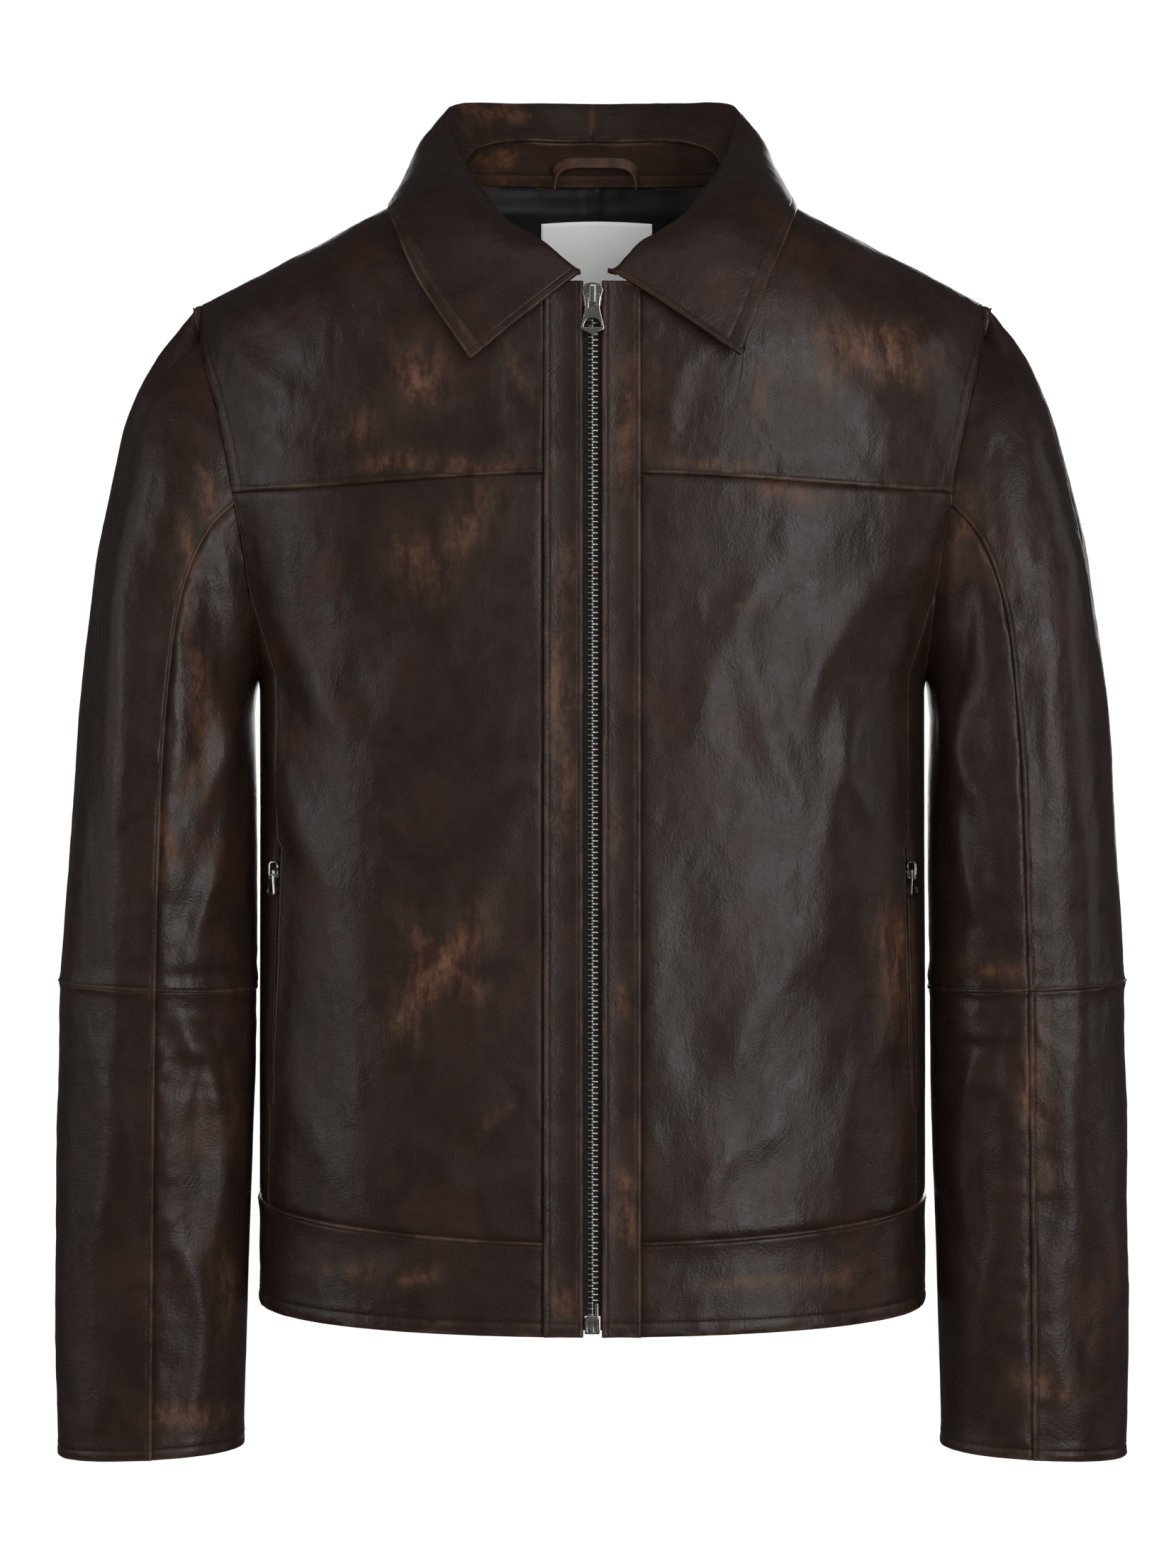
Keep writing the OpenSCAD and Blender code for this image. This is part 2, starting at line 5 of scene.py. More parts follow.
import bpy
import numpy as np
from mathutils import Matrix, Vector


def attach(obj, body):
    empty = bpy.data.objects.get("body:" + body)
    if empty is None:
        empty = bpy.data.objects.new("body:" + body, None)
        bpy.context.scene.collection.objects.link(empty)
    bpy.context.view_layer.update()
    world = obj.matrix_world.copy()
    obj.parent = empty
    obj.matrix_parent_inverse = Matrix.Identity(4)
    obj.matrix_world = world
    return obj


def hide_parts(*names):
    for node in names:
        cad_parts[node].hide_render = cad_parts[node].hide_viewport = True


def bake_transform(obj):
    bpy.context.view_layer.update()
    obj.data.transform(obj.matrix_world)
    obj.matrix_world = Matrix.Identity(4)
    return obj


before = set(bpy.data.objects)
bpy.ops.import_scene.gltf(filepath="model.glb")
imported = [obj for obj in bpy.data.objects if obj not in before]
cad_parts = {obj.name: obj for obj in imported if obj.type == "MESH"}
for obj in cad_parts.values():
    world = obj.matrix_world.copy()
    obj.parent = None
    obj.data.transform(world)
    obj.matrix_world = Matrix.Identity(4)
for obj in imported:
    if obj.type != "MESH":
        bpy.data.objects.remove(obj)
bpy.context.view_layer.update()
LOOP_AT = np.array([0.0, 75.0, 719.0])

# ------------------------------------------------------------------ shape, in mm, as in the CAD part
HEM_W, CHEST_W, ZIP_D, ZIP_LEAN, N = 206.0, 206.0, 122.0, 0.035, 2.5
YOKE_Z, BAND_Z, UNDER_Z, NECK_TOP, NECK_W = 508.0, 56.0, 393.0, 700.0, 90.0
SHOULDER_W, SHOULDER_Z, RIDGE_Y = 248.0, 621.0, 5.0
SIDE_BACK_U = 114.0
HALF_W = ([0, 150, UNDER_Z, 450, YOKE_Z], [HEM_W, CHEST_W + .5, CHEST_W, CHEST_W + 17, CHEST_W + 37])
BACK_D = ([0, 150, 300, 450, YOKE_Z], [110, 108, 112, 120, 118])
ARM_X = ([UNDER_Z, 405, 430, 450, 470, 499, 530, 560, 590, SHOULDER_Z],
         [CHEST_W, CHEST_W + .6, 208.5, 210, 212.5, 217.5, 223.5, 231, 239.5, SHOULDER_W])
POCKET_U = ([50, 134, 284, 360, 440], [68, 66.6, 62.8, 62.5, 64.4])
POCKET_SLOT = ([126, 132, 288, 294], [.2, 4.6, 4.6, .2])
NECK_X = [9, 22, 38, 55, 70, 82, NECK_W, 88, 76, 46, 0]
FOLD_LINE = [[8, -107, 632], [26, -101, 648], [41, -91, 658], [54, -78, 668], [67, -55, 686],
             [79, -28, 705], [88, 4, 727], [91.5, 26, 745], [82, 48, 755.5], [48, 73, 759.5], [0, 83, 760.5]]
EDGE_LINE = [[80, -116, 580], [93, -110, 605], [106, -101, 631], [115, -90, 652], [121, -72, 668],
             [124, -42, 678], [123, -4, 685], [115, 30, 693], [97, 66, 702], [52, 91, 711], [0, 98, 714]]
LEAF_LIFT = [2.0, 4, 8, 11, 13, 12, 9, 6, 4, 3, 3]
TIP = {True: (87.5, 582.5), False: (72.5, 580.0)}
THROAT_X = {True: 14.0, False: 8.0}
# rows of a sleeve: x and z of its outer edge, x and z of its inner edge, middle y, half depth, narrowing
UPPER_SLEEVE = [[251, 621, 209, 392, 3, 62, 10], [269, 595, 209.5, 387, 3, 66, 5],
                [285, 560, 210, 379, 3, 69, 2], [298, 510, 210.5, 367, 2, 71, 0],
                [307.5, 461, 210, 350, -2, 71, 0], [318.5, 374, 209, 318, -6, 69, 0],
                [325.5, 279, 208.8, 258, -10, 64, 0], [330, 203.8, 209, 198.3, -12, 58, 0]]
LOWER_SLEEVE = [[330, 204.5, 209, 199, -12, 58, 0], [331, 130, 210, 126, -14, 53, 0],
                [330.5, 40, 212.5, 38, -17, 47, 0], [329.5, -87.5, 215.5, -82, -20, 42, 0]]
MIRROR = np.array([-1.0, 1, 1])
UP = np.array([0, 0, 1.0])
SLEEVE_FRONT, SLEEVE_BACK = 95.0, 245.0
FRONT_NAMES = {True: "left", False: "right"}


def rad(a):
    return np.radians(a)


def mix(a, b, t):
    return a + (b - a) * t


def gauss(d, w):
    return np.exp(-(d / w) ** 2)


def smooth(a, b, x):
    t = np.clip((x - a) / (b - a), 0, 1)
    return t * t * (3 - 2 * t)


def look(z, table):
    return np.interp(z, *table)


def round_k(s, c, n):
    return 1 / (np.abs(s) ** n + np.abs(c) ** n) ** (1 / n)


def rest_of(r, n):
    return np.maximum(0, 1 - np.minimum(np.abs(r), 1) ** n) ** (1 / n)


def pack3(x, y, z):
    return np.stack(np.broadcast_arrays(x, y, z), -1).astype(float)


def cubic(a, b, c, d, f):
    """Catmull-Rom value between b and c at the share f."""
    bend, twist = 2 * a - 5 * b + 4 * c - d, 3 * b - a - 3 * c + d
    return .5 * (2 * b + (c - a) * f + bend * f ** 2 + twist * f ** 3)


def curve(points, t):
    """A smooth line through points, one unit of t from each to the next."""
    p = np.asarray(points, float)
    t = np.asarray(t, float)
    last = len(p) - 1
    i = np.clip(np.floor(t), 0, last - 1).astype(int)
    return cubic(p[np.maximum(i - 1, 0)], p[i], p[i + 1], p[np.minimum(i + 2, last)], (t - i)[..., None])


def half_w(z):
    return look(z, HALF_W)


def depth(z, back):
    return np.where(back, look(z, BACK_D), ZIP_D - ZIP_LEAN * z)


def torso(u, z):
    s, c = np.sin(rad(u)), np.cos(rad(u))
    k = round_k(s, c, N)
    return pack3(half_w(z) * s * k, -depth(z, c < 0) * c * k, z)


def torso_u(x, z):
    r = x / half_w(z)
    return np.degrees(np.arctan2(r, rest_of(r, N)))


def ridge_z(x, back):
    """Height of the shoulder's ridge; inside the neck's width it follows the neckline."""
    near = NECK_TOP + (56 * rest_of(x / NECK_W, 2.5) if back else (NECK_W - x) * .15)
    far = NECK_TOP - (x - NECK_W) * (NECK_TOP - SHOULDER_Z) / (SHOULDER_W - NECK_W)
    return np.where(x < NECK_W, near, far)


def yoke_n(x, back):
    return (3 if back else 4.3) - (.8 if back else 2.1) * x / SHOULDER_W


def chest_d(x, back):
    return depth(YOKE_Z, back) * rest_of(x / half_w(YOKE_Z), N)


def upper(x, v, back):
    """The chest or back above the yoke seam: v runs from 0 at the seam to 90 on the shoulder's ridge."""
    ax, f = np.abs(x), (1 if back else -1)
    s, c = np.sin(rad(v)), np.cos(rad(v))
    k = round_k(s, c, yoke_n(ax, back))
    return pack3(x, RIDGE_Y + f * ((chest_d(ax, back) - f * RIDGE_Y) * c * k + 1.4 * s),
                 YOKE_Z + (ridge_z(ax, back) - YOKE_Z) * s * k)


def upper_v(x, z, back):
    r = (z - YOKE_Z) / (ridge_z(x, back) - YOKE_Z)
    return np.degrees(np.arctan2(r, rest_of(r, yoke_n(x, back))))


def neck_v(x, back):
    """v of the neckline at x."""
    n = yoke_n(x, back)
    reach, shape = (70, 2) if back else (106, 3)
    q = np.minimum(1, reach * rest_of(x / NECK_W, shape) / (chest_d(x, back) - (1 if back else -1) * RIDGE_Y))
    return np.where(x >= NECK_W, 90, np.degrees(np.arctan2(rest_of(q, n), q)))


def arm_x(z):
    return look(z, ARM_X)


def arm_x_at_v(v):
    return arm_x(upper(234.0, v, False)[..., 2])


def side_u(z):
    return np.where(z < UNDER_Z, 90, torso_u(arm_x(z), z))


def hem_z(u):
    return 5.5 * np.sin(rad(u)) ** 2


def band_top(u):
    return BAND_Z + 16 * np.sin(rad(u)) ** 2


ARM_ZS = np.linspace(UNDER_Z, YOKE_Z, 60)
ARM_US = side_u(ARM_ZS)


def armhole_z(u):
    """Height of the armhole's edge over the side of the torso."""
    u = np.where(np.asarray(u) > 90, 180 - np.asarray(u), u)
    return np.interp(-u, -ARM_US, ARM_ZS)


def armhole(z, back):
    """A point on the armhole's edge."""
    low = torso(np.where(back, 180 - side_u(z), side_u(z)), np.minimum(z, YOKE_Z))
    x = arm_x(z)
    zz = np.maximum(z, YOKE_Z)
    high = np.where(np.asarray(back)[..., None], upper(x, upper_v(x, zz, True), True),
                    upper(x, upper_v(x, zz, False), False))
    return np.where((z > YOKE_Z)[..., None], high, low)


def sleeve(stations, t, a):
    """A point on a sleeve: t counts its rows, and the angle a turns from the outer edge to the front."""
    s = np.moveaxis(curve(stations, t), -1, 0)
    c, f = np.cos(rad(a)), np.sin(rad(a))
    k = round_k(c, f, 2.2)
    return pack3(mix(s[2], s[0], .5 + .5 * c * k) - s[6] * f ** 2, s[4] - s[5] * f * k,
                 mix(s[3], s[1], .5 + .5 * c * k))


def cap_sleeve(t, a):
    """The upper sleeve, drawn onto the armhole where it is sewn in."""
    t, a = np.broadcast_arrays(np.asarray(t, float), np.asarray(a, float))
    p = sleeve(UPPER_SLEEVE, t, a)
    ring = sleeve(UPPER_SLEEVE, np.zeros_like(t), a)
    top, low = UPPER_SLEEVE[0][1], UPPER_SLEEVE[0][3]
    z = mix(UNDER_Z + .2, SHOULDER_Z - .2, np.clip((ring[..., 2] - low) / (top - low), 0, 1))
    back = (a % 360) > 180
    pull = armhole(z, back) - ring
    away = np.exp(-(np.maximum(t, 0) / 1.1) ** 1.3)
    return p + pull * away[..., None]


# ------------------------------------------------------------------ noise and folds
def hashed(ix, iy, iz, seed):
    n = (ix * 73856093 ^ iy * 19349663 ^ iz * 83492791 ^ seed * 2654435761) & 0xFFFFFFFF
    n = ((n ^ (n >> 15)) * 2246822519) & 0xFFFFFFFF
    n = ((n ^ (n >> 13)) * 3266489917) & 0xFFFFFFFF
    return ((n ^ (n >> 16)) & 0xFFFFFF) / 8388607.5 - 1


def noise(p, seed=0):
    q = np.floor(p)
    f = p - q
    i = q.astype(np.int64)
    f = f * f * f * (f * (f * 6 - 15) + 10)
    out = 0
    for dx in (0, 1):
        for dy in (0, 1):
            for dz in (0, 1):
                w = (f[..., 0] if dx else 1 - f[..., 0]) * (f[..., 1] if dy else 1 - f[..., 1]) \
                    * (f[..., 2] if dz else 1 - f[..., 2])
                out = out + w * hashed(i[..., 0] + dx, i[..., 1] + dy, i[..., 2] + dz, seed)
    return out


def fbm(p, size, seed=0, octaves=3):
    """Layers of noise whose largest waves are about size across."""
    p = p / np.array(size)
    return sum(noise(p * 2.03 ** k, seed + 7 * k) * .5 ** k for k in range(octaves))


def ridge(q, x0, z0, x1, z1, width, height):
    """A fold on the front along a line from (x0, z0) to (x1, z1) that fades towards its ends."""
    d = np.array([x1 - x0, z1 - z0], float)
    size = np.hypot(*d)
    d /= size
    rx, rz = q[..., 0] - x0, q[..., 2] - z0
    along = (rx * d[0] + rz * d[1]) / size
    bow = 0.10 * size * np.sin(np.clip(along, 0, 1) * math.pi)
    across = -rx * d[1] + rz * d[0] + bow
    end = smooth(-.08, .3, along) * (1 - smooth(.6, 1.08, along))
    return height * end * (gauss(across, width) - .45 * gauss(across - 2.1 * width, width * 1.3))


def ridges(q, lines):
    return sum(ridge(q, *line) for line in lines)


# ------------------------------------------------------------------ sheets with worked edges
LAP = [0, .45, 1.0, 1.7, 2.4, 3.0, 3.6, 4.6, 6.2, 8.4]
TUCK = [-2.6, -1.2, -.2, .6, 1.5, 2.8, 4.6, 6.4, 8.4]
HEM = [0, .5, 1.3, 2.6, 4.6, 6.6, 7.5, 8.2, 8.9, 10.0, 12.4]
BAND = [0, .45, 1.0, 1.9, 3.4, 5.2, 6.3, 7.0, 7.7, 9.2]
OPEN = [0, .5, 1.3, 2.6, 4.6]
FREE = [0, .5, 1.2, 2.4, 4.4, 6.4, 7.4, 8.0, 8.6, 9.6, 12]


def edge_finish(rows, fade, heights, line=None):
    """Mesh rows in from an edge, the leather's height over them, and where a stitched crease lies."""
    return rows, (rows + fade, heights), line


EDGE = {
    "lap": edge_finish(LAP, [13], [-.35, .75, 1.15, 1.2, .95, .55, .75, .7, .45, .25, 0], 3.0),
    "tuck": edge_finish(TUCK, [], [-1.7, -1.6, -1.35, -.95, -.55, -.22, -.05, 0, 0]),
    "hem": edge_finish(HEM, [15], [-.5, .15, .5, .6, .5, .42, .15, -.1, .12, .3, .12, 0], 8.2),
    "band": edge_finish(BAND, [12], [-.4, .8, 1.2, 1.35, 1.25, 1.0, .6, .25, .5, .3, 0], 7.0),
    "puff": edge_finish(TUCK, [12], [-1.5, -1.45, -1.2, -.5, .1, .5, .6, .45, .25, 0]),
    "open": edge_finish(OPEN, [], [-.5, -.1, .05, 0, 0]),
    "free": edge_finish(FREE, [], [-.6, .1, .45, .6, .55, .4, .15, -.15, .12, .22, 0], 8.0),
}
PITCH = 2.7
EVEN = np.linspace(0, 1, 41)


def fractions(length, near, far, count):
    """Rows at fixed distances from both edges and even between, as shares of each length."""
    length = np.asarray(length, float)[:, None]
    a, b = np.array(near)[None, :], np.array(far)[None, ::-1]
    fit = np.clip(length / (near[-1] + far[-1] + 4), .05, 1)
    a = np.where(a > 0, a * fit, a) / length
    b = 1 - np.where(b > 0, b * fit, b) / length
    mid = np.linspace(0, 1, count + 2)[None, 1:-1]
    return np.concatenate([a, mix(a[:, -1:], b[:, :1], mid), b], 1)


def arc(p, axis):
    return np.linalg.norm(np.diff(p, axis=axis), axis=-1).sum(axis)


def unit(v):
    return v / np.maximum(np.linalg.norm(v, axis=-1, keepdims=True), 1e-9)


def normals_of(g):
    return unit(np.cross(np.gradient(g, axis=0), np.gradient(g, axis=1)))


def sampled(shape, s, t):
    return shape(*np.meshgrid(s, t, indexing="ij"))


def faced(grid, outward):
    """Normals of a grid on the side that outward(grid) points to, and whether they had to be turned over."""
    n = normals_of(grid)
    flip = (n * outward(grid)).sum(-1).mean() < 0
    return (-n if flip else n), flip


def new_object(name, data):
    obj = bpy.data.objects.new(name, data)
    bpy.context.scene.collection.objects.link(obj)
    return obj


def set_points(me, points):
    """Places vertices given in design millimetres, and keeps them in metres for the textures to read."""
    me.vertices.foreach_set("co", ((points - LOOP_AT) / 1000).astype(np.float32).ravel())
    rest = me.attributes.new("rest", "FLOAT_VECTOR", "POINT")
    rest.data.foreach_set("vector", (points / 1000).astype(np.float32).ravel())


def to_mesh(name, verts, quads, materials, index=None, attributes=None):
    me = bpy.data.meshes.new(name)
    me.vertices.add(len(verts))
    me.loops.add(quads.size)
    me.loops.foreach_set("vertex_index", quads.astype(np.int32).ravel())
    me.polygons.add(len(quads))
    me.polygons.foreach_set("loop_start", np.arange(0, quads.size, 4, dtype=np.int32))
    set_points(me, verts.astype(np.float32))
    me.update(calc_edges=True)
    me.polygons.foreach_set("use_smooth", np.full(len(quads), True))
    for m in materials:
        me.materials.append(m)
    if index is not None:
        me.polygons.foreach_set("material_index", index.astype(np.int32))
    for key, values in (attributes or {}).items():
        values = np.broadcast_to(values, len(verts)).astype(np.float32)
        me.attributes.new(key, "FLOAT", "POINT").data.foreach_set("value", values)
    me.validate()
    return new_object(name, me)


def tube_quads(rings, sides, turn=1):
    """Quads over a row of rings of points and over its two ends; turn gives their winding."""
    quads = []
    for r in range(rings - 1):
        for k in range(sides):
            here, there = r * sides + k, r * sides + (k + 1) % sides
            quads.append([here, there, there + sides, here + sides])
    for base, order in ((0, -turn), ((rings - 1) * sides, turn)):
        for k in range(1, sides - 2, 2):
            quads.append([base, base + k, base + k + 1, base + k + 2][::order])
    return np.array(quads)


def closed_sheet(outer, inner, rounding=.3):
    """Vertices and quads of a closed sheet between two grids, with a rounded rim."""
    m, n = outer.shape[:2]
    at = np.arange(m * n).reshape(m, n)
    face = np.stack([at[:-1, :-1], at[1:, :-1], at[1:, 1:], at[:-1, 1:]], -1).reshape(-1, 4)
    rim = np.concatenate([at[:-1, 0], at[-1, :-1], at[:0:-1, -1], at[0, :0:-1]])
    step = np.concatenate([at[:-1, 1], at[-2, :-1], at[:0:-1, -2], at[1, :0:-1]])
    o, i = outer.reshape(-1, 3), inner.reshape(-1, 3)
    middle = (o[rim] + i[rim]) / 2 + unit(o[rim] - o[step]) * rounding
    k = m * n
    here, there = np.arange(len(rim)), np.roll(np.arange(len(rim)), -1)
    side = np.concatenate([
        np.stack([rim[there], rim[here], 2 * k + here, 2 * k + there], -1),
        np.stack([2 * k + there, 2 * k + here, k + rim[here], k + rim[there]], -1)])
    return np.concatenate([o, i, middle]), np.concatenate([face, face[:, ::-1] + k, side]), len(face), rim


STITCH_RINGS = ((-.5, .35, -.30), (-.3, .95, .12), (.3, .95, .12), (.5, .35, -.30))  # along, width, height


def stitch_row(path, normal, pitch=3.1, length=2.15, width=.30, sink=.06, skip=2.5, sides=6):
    """Threads along a path: small rods that dip into the leather at both ends."""
    seg = np.linalg.norm(np.diff(path, axis=0), axis=1)
    s = np.concatenate([[0], np.cumsum(seg)])
    if s[-1] < 2 * skip + pitch:
        return None
    at = np.arange(skip + pitch / 2, s[-1] - skip, pitch)

    def sample(a, x):
        return np.stack([np.interp(x, s, a[:, k]) for k in range(3)], -1)
    mid, nrm = sample(path, at), sample(normal, at)
    nrm /= np.linalg.norm(nrm, axis=-1, keepdims=True)
    ahead = unit(sample(path, at + .6) - sample(path, at - .6))
    side = np.cross(nrm, ahead)
    rings = []
    for f, w, h in STITCH_RINGS:
        base = mid + ahead * (f * length) + nrm * (h - sink)
        for k in range(sides):
            b = 2 * math.pi * k / sides
            rings.append(base + side * (math.cos(b) * width * w) + nrm * (math.sin(b) * width * .8 * w))
    v = np.stack(rings, 1)
    q = tube_quads(len(STITCH_RINGS), sides)[None] + (np.arange(len(at)) * len(rings))[:, None, None]
    return v.reshape(-1, 3), q.reshape(-1, 4)


RUBS = [  # on the front: x, z, half sizes, turn in degrees, strength
    (170, 589, 30, 13, -8, 1.0), (150, 575, 16, 8, 30, .6), (100, 560, 5, 12, 0, .5),
    (-91, 217, 9, 36, -38, 1.0), (-88, 222, 8, 27, 48, .85), (-108, 186, 7, 14, 10, .5),
    (-70, 245, 10, 10, 0, .5), (-104, 574, 13, 16, 20, .8), (-140, 543, 11, 9, 30, .5),
    (-74, 481, 13, 26, -30, .5), (-103, 461, 14, 14, 20, .5), (181, 221, 9, 30, 4, .9),
    (118, 500, 20, 6, 0, .6), (-118, 518, 16, 6, 0, .7), (-62, 518, 30, 5, 0, .6), (74, 518, 22, 5, 0, .6),
    (95, 436, 9, 3, 10, .35), (-40, 575, 4, 14, 25, .5), (-60, 130, 8, 4, 30, .45),
    (-103, 33, 12, 5, 20, .6), (92, 31, 26, 4, 4, .5), (140, 30, 30, 4, 0, .4), (-150, 36, 24, 5, 0, .4),
    (20, 70, 7, 14, 0, .8), (18, 92, 7, 7, 0, .7), (-17, 385, 7, 30, 0, .7), (-16, 330, 6, 26, 0, .6),
    (-17, 455, 6, 18, 0, .5), (17, 300, 6, 12, 0, .7), (18, 545, 7, 40, 0, .5), (-16, 20, 6, 10, 0, .6),
    (18, 200, 6, 14, 0, .4), (-241, 384, 5, 60, 4, .6), (-258, 292, 4, 22, 2, .9),
    (-246, 330, 4, 12, 0, .6), (270, 146, 7, 36, 0, .9), (272, 100, 6, 16, 0, .5), (276, -38, 16, 8, 0, .8),
    (-245, -60, 20, 7, 0, .8), (-228, 20, 6, 26, 0, .4), (-229, 122, 12, 22, 0, .4),
    (247, 216, 18, 5, 0, .6), (-300, 360, 5, 16, 0, .3), (228, 480, 8, 20, -14, .5),
    (-232, 500, 6, 18, 14, .6), (-244, 465, 4, 22, 8, .6),
]


def rubbed(p):
    """How rubbed the leather is, from 0 to 1: the photo's patches in front, and broad faint ones behind."""
    out = np.zeros(p.shape[:-1])
    warp = np.stack([noise(p / 22, 5), noise(p / 22, 9)], -1) * 5
    x, z = p[..., 0] + warp[..., 0], p[..., 2] + warp[..., 1]
    for x0, z0, a, b, turn, strength in RUBS:
        c, s = math.cos(math.radians(turn)), math.sin(math.radians(turn))
        dx, dz = x - x0, z - z0
        r = ((dx * c + dz * s) / a) ** 2 + ((-dx * s + dz * c) / b) ** 2
        out = np.maximum(out, strength * np.exp(-.8 * r))
    front = 1 - smooth(-20, 30, p[..., 1])
    back = .5 * smooth(20, 60, p[..., 1]) * smooth(.38, .85, fbm(p, (60, 80, 48), 31, 4))
    return out * front + back


def edge_grid(shape, edges, pitch):
    """Samples shape(s, t) with the rows that its edges need; also gives the distances to its four edges."""
    near_s, far_s, near_t, far_t = (EDGE[kind][0] for kind in edges)
    coarse = sampled(shape, EVEN, EVEN)
    wide, high = arc(coarse, 0), arc(coarse, 1)
    cols = max(2, int((wide.max() - near_s[-1] - far_s[-1]) / pitch))
    rows = max(2, int((high.max() - near_t[-1] - far_t[-1]) / pitch))
    s = np.full((len(near_s) + len(far_s) + cols, len(near_t) + len(far_t) + rows), .5)
    t = s
    for _ in range(3):
        width, height = np.interp(t.mean(0), EVEN, wide), np.interp(s.mean(1), EVEN, high)
        s = fractions(np.maximum(width, 6), near_s, far_s, cols).T
        t = fractions(np.maximum(height, 6), near_t, far_t, rows)
    return shape(s, t), [s * width, (1 - s) * width, t * height[:, None], (1 - t) * height[:, None]]


def panel(name, shape, edges, outward, relief, mirror=False, thick=1.2, material=None, pucker=1.0,
          pitch=PITCH, lift=0.0, gather=None):
    """A leather sheet: shape(s, t) is its surface, relief its folds, edges how it ends in s and then in t."""
    grid, distances = edge_grid(shape, edges, pitch)
    if mirror:
        grid = grid * MIRROR
    normals, flip = faced(grid, outward)
    lap, tuck, wear, crease_shade = 0, 0, 0, 0
    for d, kind in zip(distances, edges):
        profile, line = EDGE[kind][1:]
        height = np.interp(d, *profile)
        lap, tuck = np.maximum(lap, height), np.minimum(tuck, height)
        if kind != "tuck":
            wear = np.maximum(wear, gauss(d - .9, 1.15))
        if line:
            # mask for painted shade along the stitched crease, where the leather dips
            crease_shade = np.maximum(crease_shade, gauss(d - line, .7))
            wear = np.maximum(wear, .38 * gauss(d - line + 1.2, 1.4))
    near = np.minimum.reduce([np.maximum(d, 0) for d in distances])
    bump = lap + tuck + lift
    bump = bump + pucker * .34 * noise(grid / 5.2, 3) * np.exp(-near / 6.5)
    if gather:
        amount, size = gather
        bump = bump + amount * noise(grid / np.array(size), 19) * np.exp(-near / 9) * smooth(1, 5, near)
    bump = bump + relief(grid) * (1 - .6 * np.exp(-near / 4))
    outer = grid + normals * bump[..., None]
    fine = normals_of(outer) * (-1 if flip else 1)
    verts, quads, faces, rim = closed_sheet(outer, outer - normals * thick)
    if flip:
        quads = quads[:, ::-1]
    index = np.zeros(len(quads), int)
    index[faces:2 * faces] = 1
    for side, kind in enumerate(edges):
        rows, _, line = EDGE[kind]
        if not line:
            continue
        j = int(np.argmin(np.abs(np.array(rows) - line)))
        pick = [(j, slice(None)), (-1 - j, slice(None)), (slice(None), j), (slice(None), -1 - j)][side]
        threads = stitch_row(outer[pick], fine[pick])
        if threads:
            quads = np.concatenate([quads, threads[1] + len(verts)])
            verts = np.concatenate([verts, threads[0]])
            index = np.concatenate([index, np.full(len(threads[1]), 2)])

    def over_all(a):
        """Grid values for the outer face and the rim; the inner face and the threads have none."""
        a = a.ravel()
        on_sheet = np.concatenate([a, a * 0, a[rim]])
        return np.concatenate([on_sheet, np.zeros(len(verts) - len(on_sheet))])
    attributes = {"wear": over_all(wear), "rub": over_all(rubbed(outer)), "crease_shade": over_all(crease_shade)}
    return to_mesh(name, verts, quads, material or [LEATHER, SUEDE, THREAD], index, attributes)


def from_axis(p):
    return p * np.array([1, 1, 0]) - np.array([0, 5.0, 0])


def high_out(p):
    return from_axis(p) + np.array([0, 0, 60.0])


# ------------------------------------------------------------------ materials
def nodes_of(name):
    m = bpy.data.materials.new(name)
    m.use_nodes = True
    t = m.node_tree
    return m, t, t.nodes["Principled BSDF"]


def feed(tree, node, inputs):
    """Fills a node's inputs: a socket is linked, and a colour gets its alpha."""
    for key, value in inputs.items():
        socket = node.inputs[key]
        if isinstance(value, bpy.types.NodeSocket):
            tree.links.new(value, socket)
        else:
            socket.default_value = (*value, 1) if socket.type == "RGBA" else value
    return node


def add(tree, kind, inputs, **settings):
    node = tree.nodes.new(kind)
    for key, value in settings.items():
        setattr(node, key, value)
    return feed(tree, node, inputs)


def attribute(tree, name):
    return add(tree, "ShaderNodeAttribute", {}, attribute_name=name, attribute_type="GEOMETRY")


def noise_tex(tree, coord, scale, detail=3.0, rough=.55, stretch=None, distortion=0.0):
    if stretch:
        coord = add(tree, "ShaderNodeMapping", {"Scale": stretch, "Vector": coord}).outputs[0]
    n = add(tree, "ShaderNodeTexNoise", {"Scale": scale, "Detail": detail, "Roughness": rough,
                                         "Distortion": distortion, "Vector": coord})
    return n.outputs["Fac"]


def ramp(tree, value, lo, hi, a=0.0, b=1.0):
    """Takes value from lo..hi to a..b, softly."""
    inputs = {"From Min": lo, "From Max": hi, "To Min": a, "To Max": b, "Value": value}
    return add(tree, "ShaderNodeMapRange", inputs, interpolation_type="SMOOTHSTEP").outputs["Result"]


def math_node(tree, op, a, b, clamp=False):
    return add(tree, "ShaderNodeMath", {0: a, 1: b}, operation=op, use_clamp=clamp).outputs[0]


def times(tree, a, b):
    return math_node(tree, "MULTIPLY", a, b, True)


def blend_colour(tree, fac, a, b):
    return add(tree, "ShaderNodeMix", {"Factor": fac, 6: a, 7: b}, data_type="RGBA").outputs[2]


def bump_node(tree, height, strength, depth_m):
    n = add(tree, "ShaderNodeBump", {"Strength": strength, "Distance": depth_m, "Height": height})
    return n.outputs[0]


def shades(colour, dark, light):
    """A darker and a lighter shade of a colour, by the factors given."""
    return tuple(c * dark for c in colour), tuple(min(1, c * light) for c in colour)


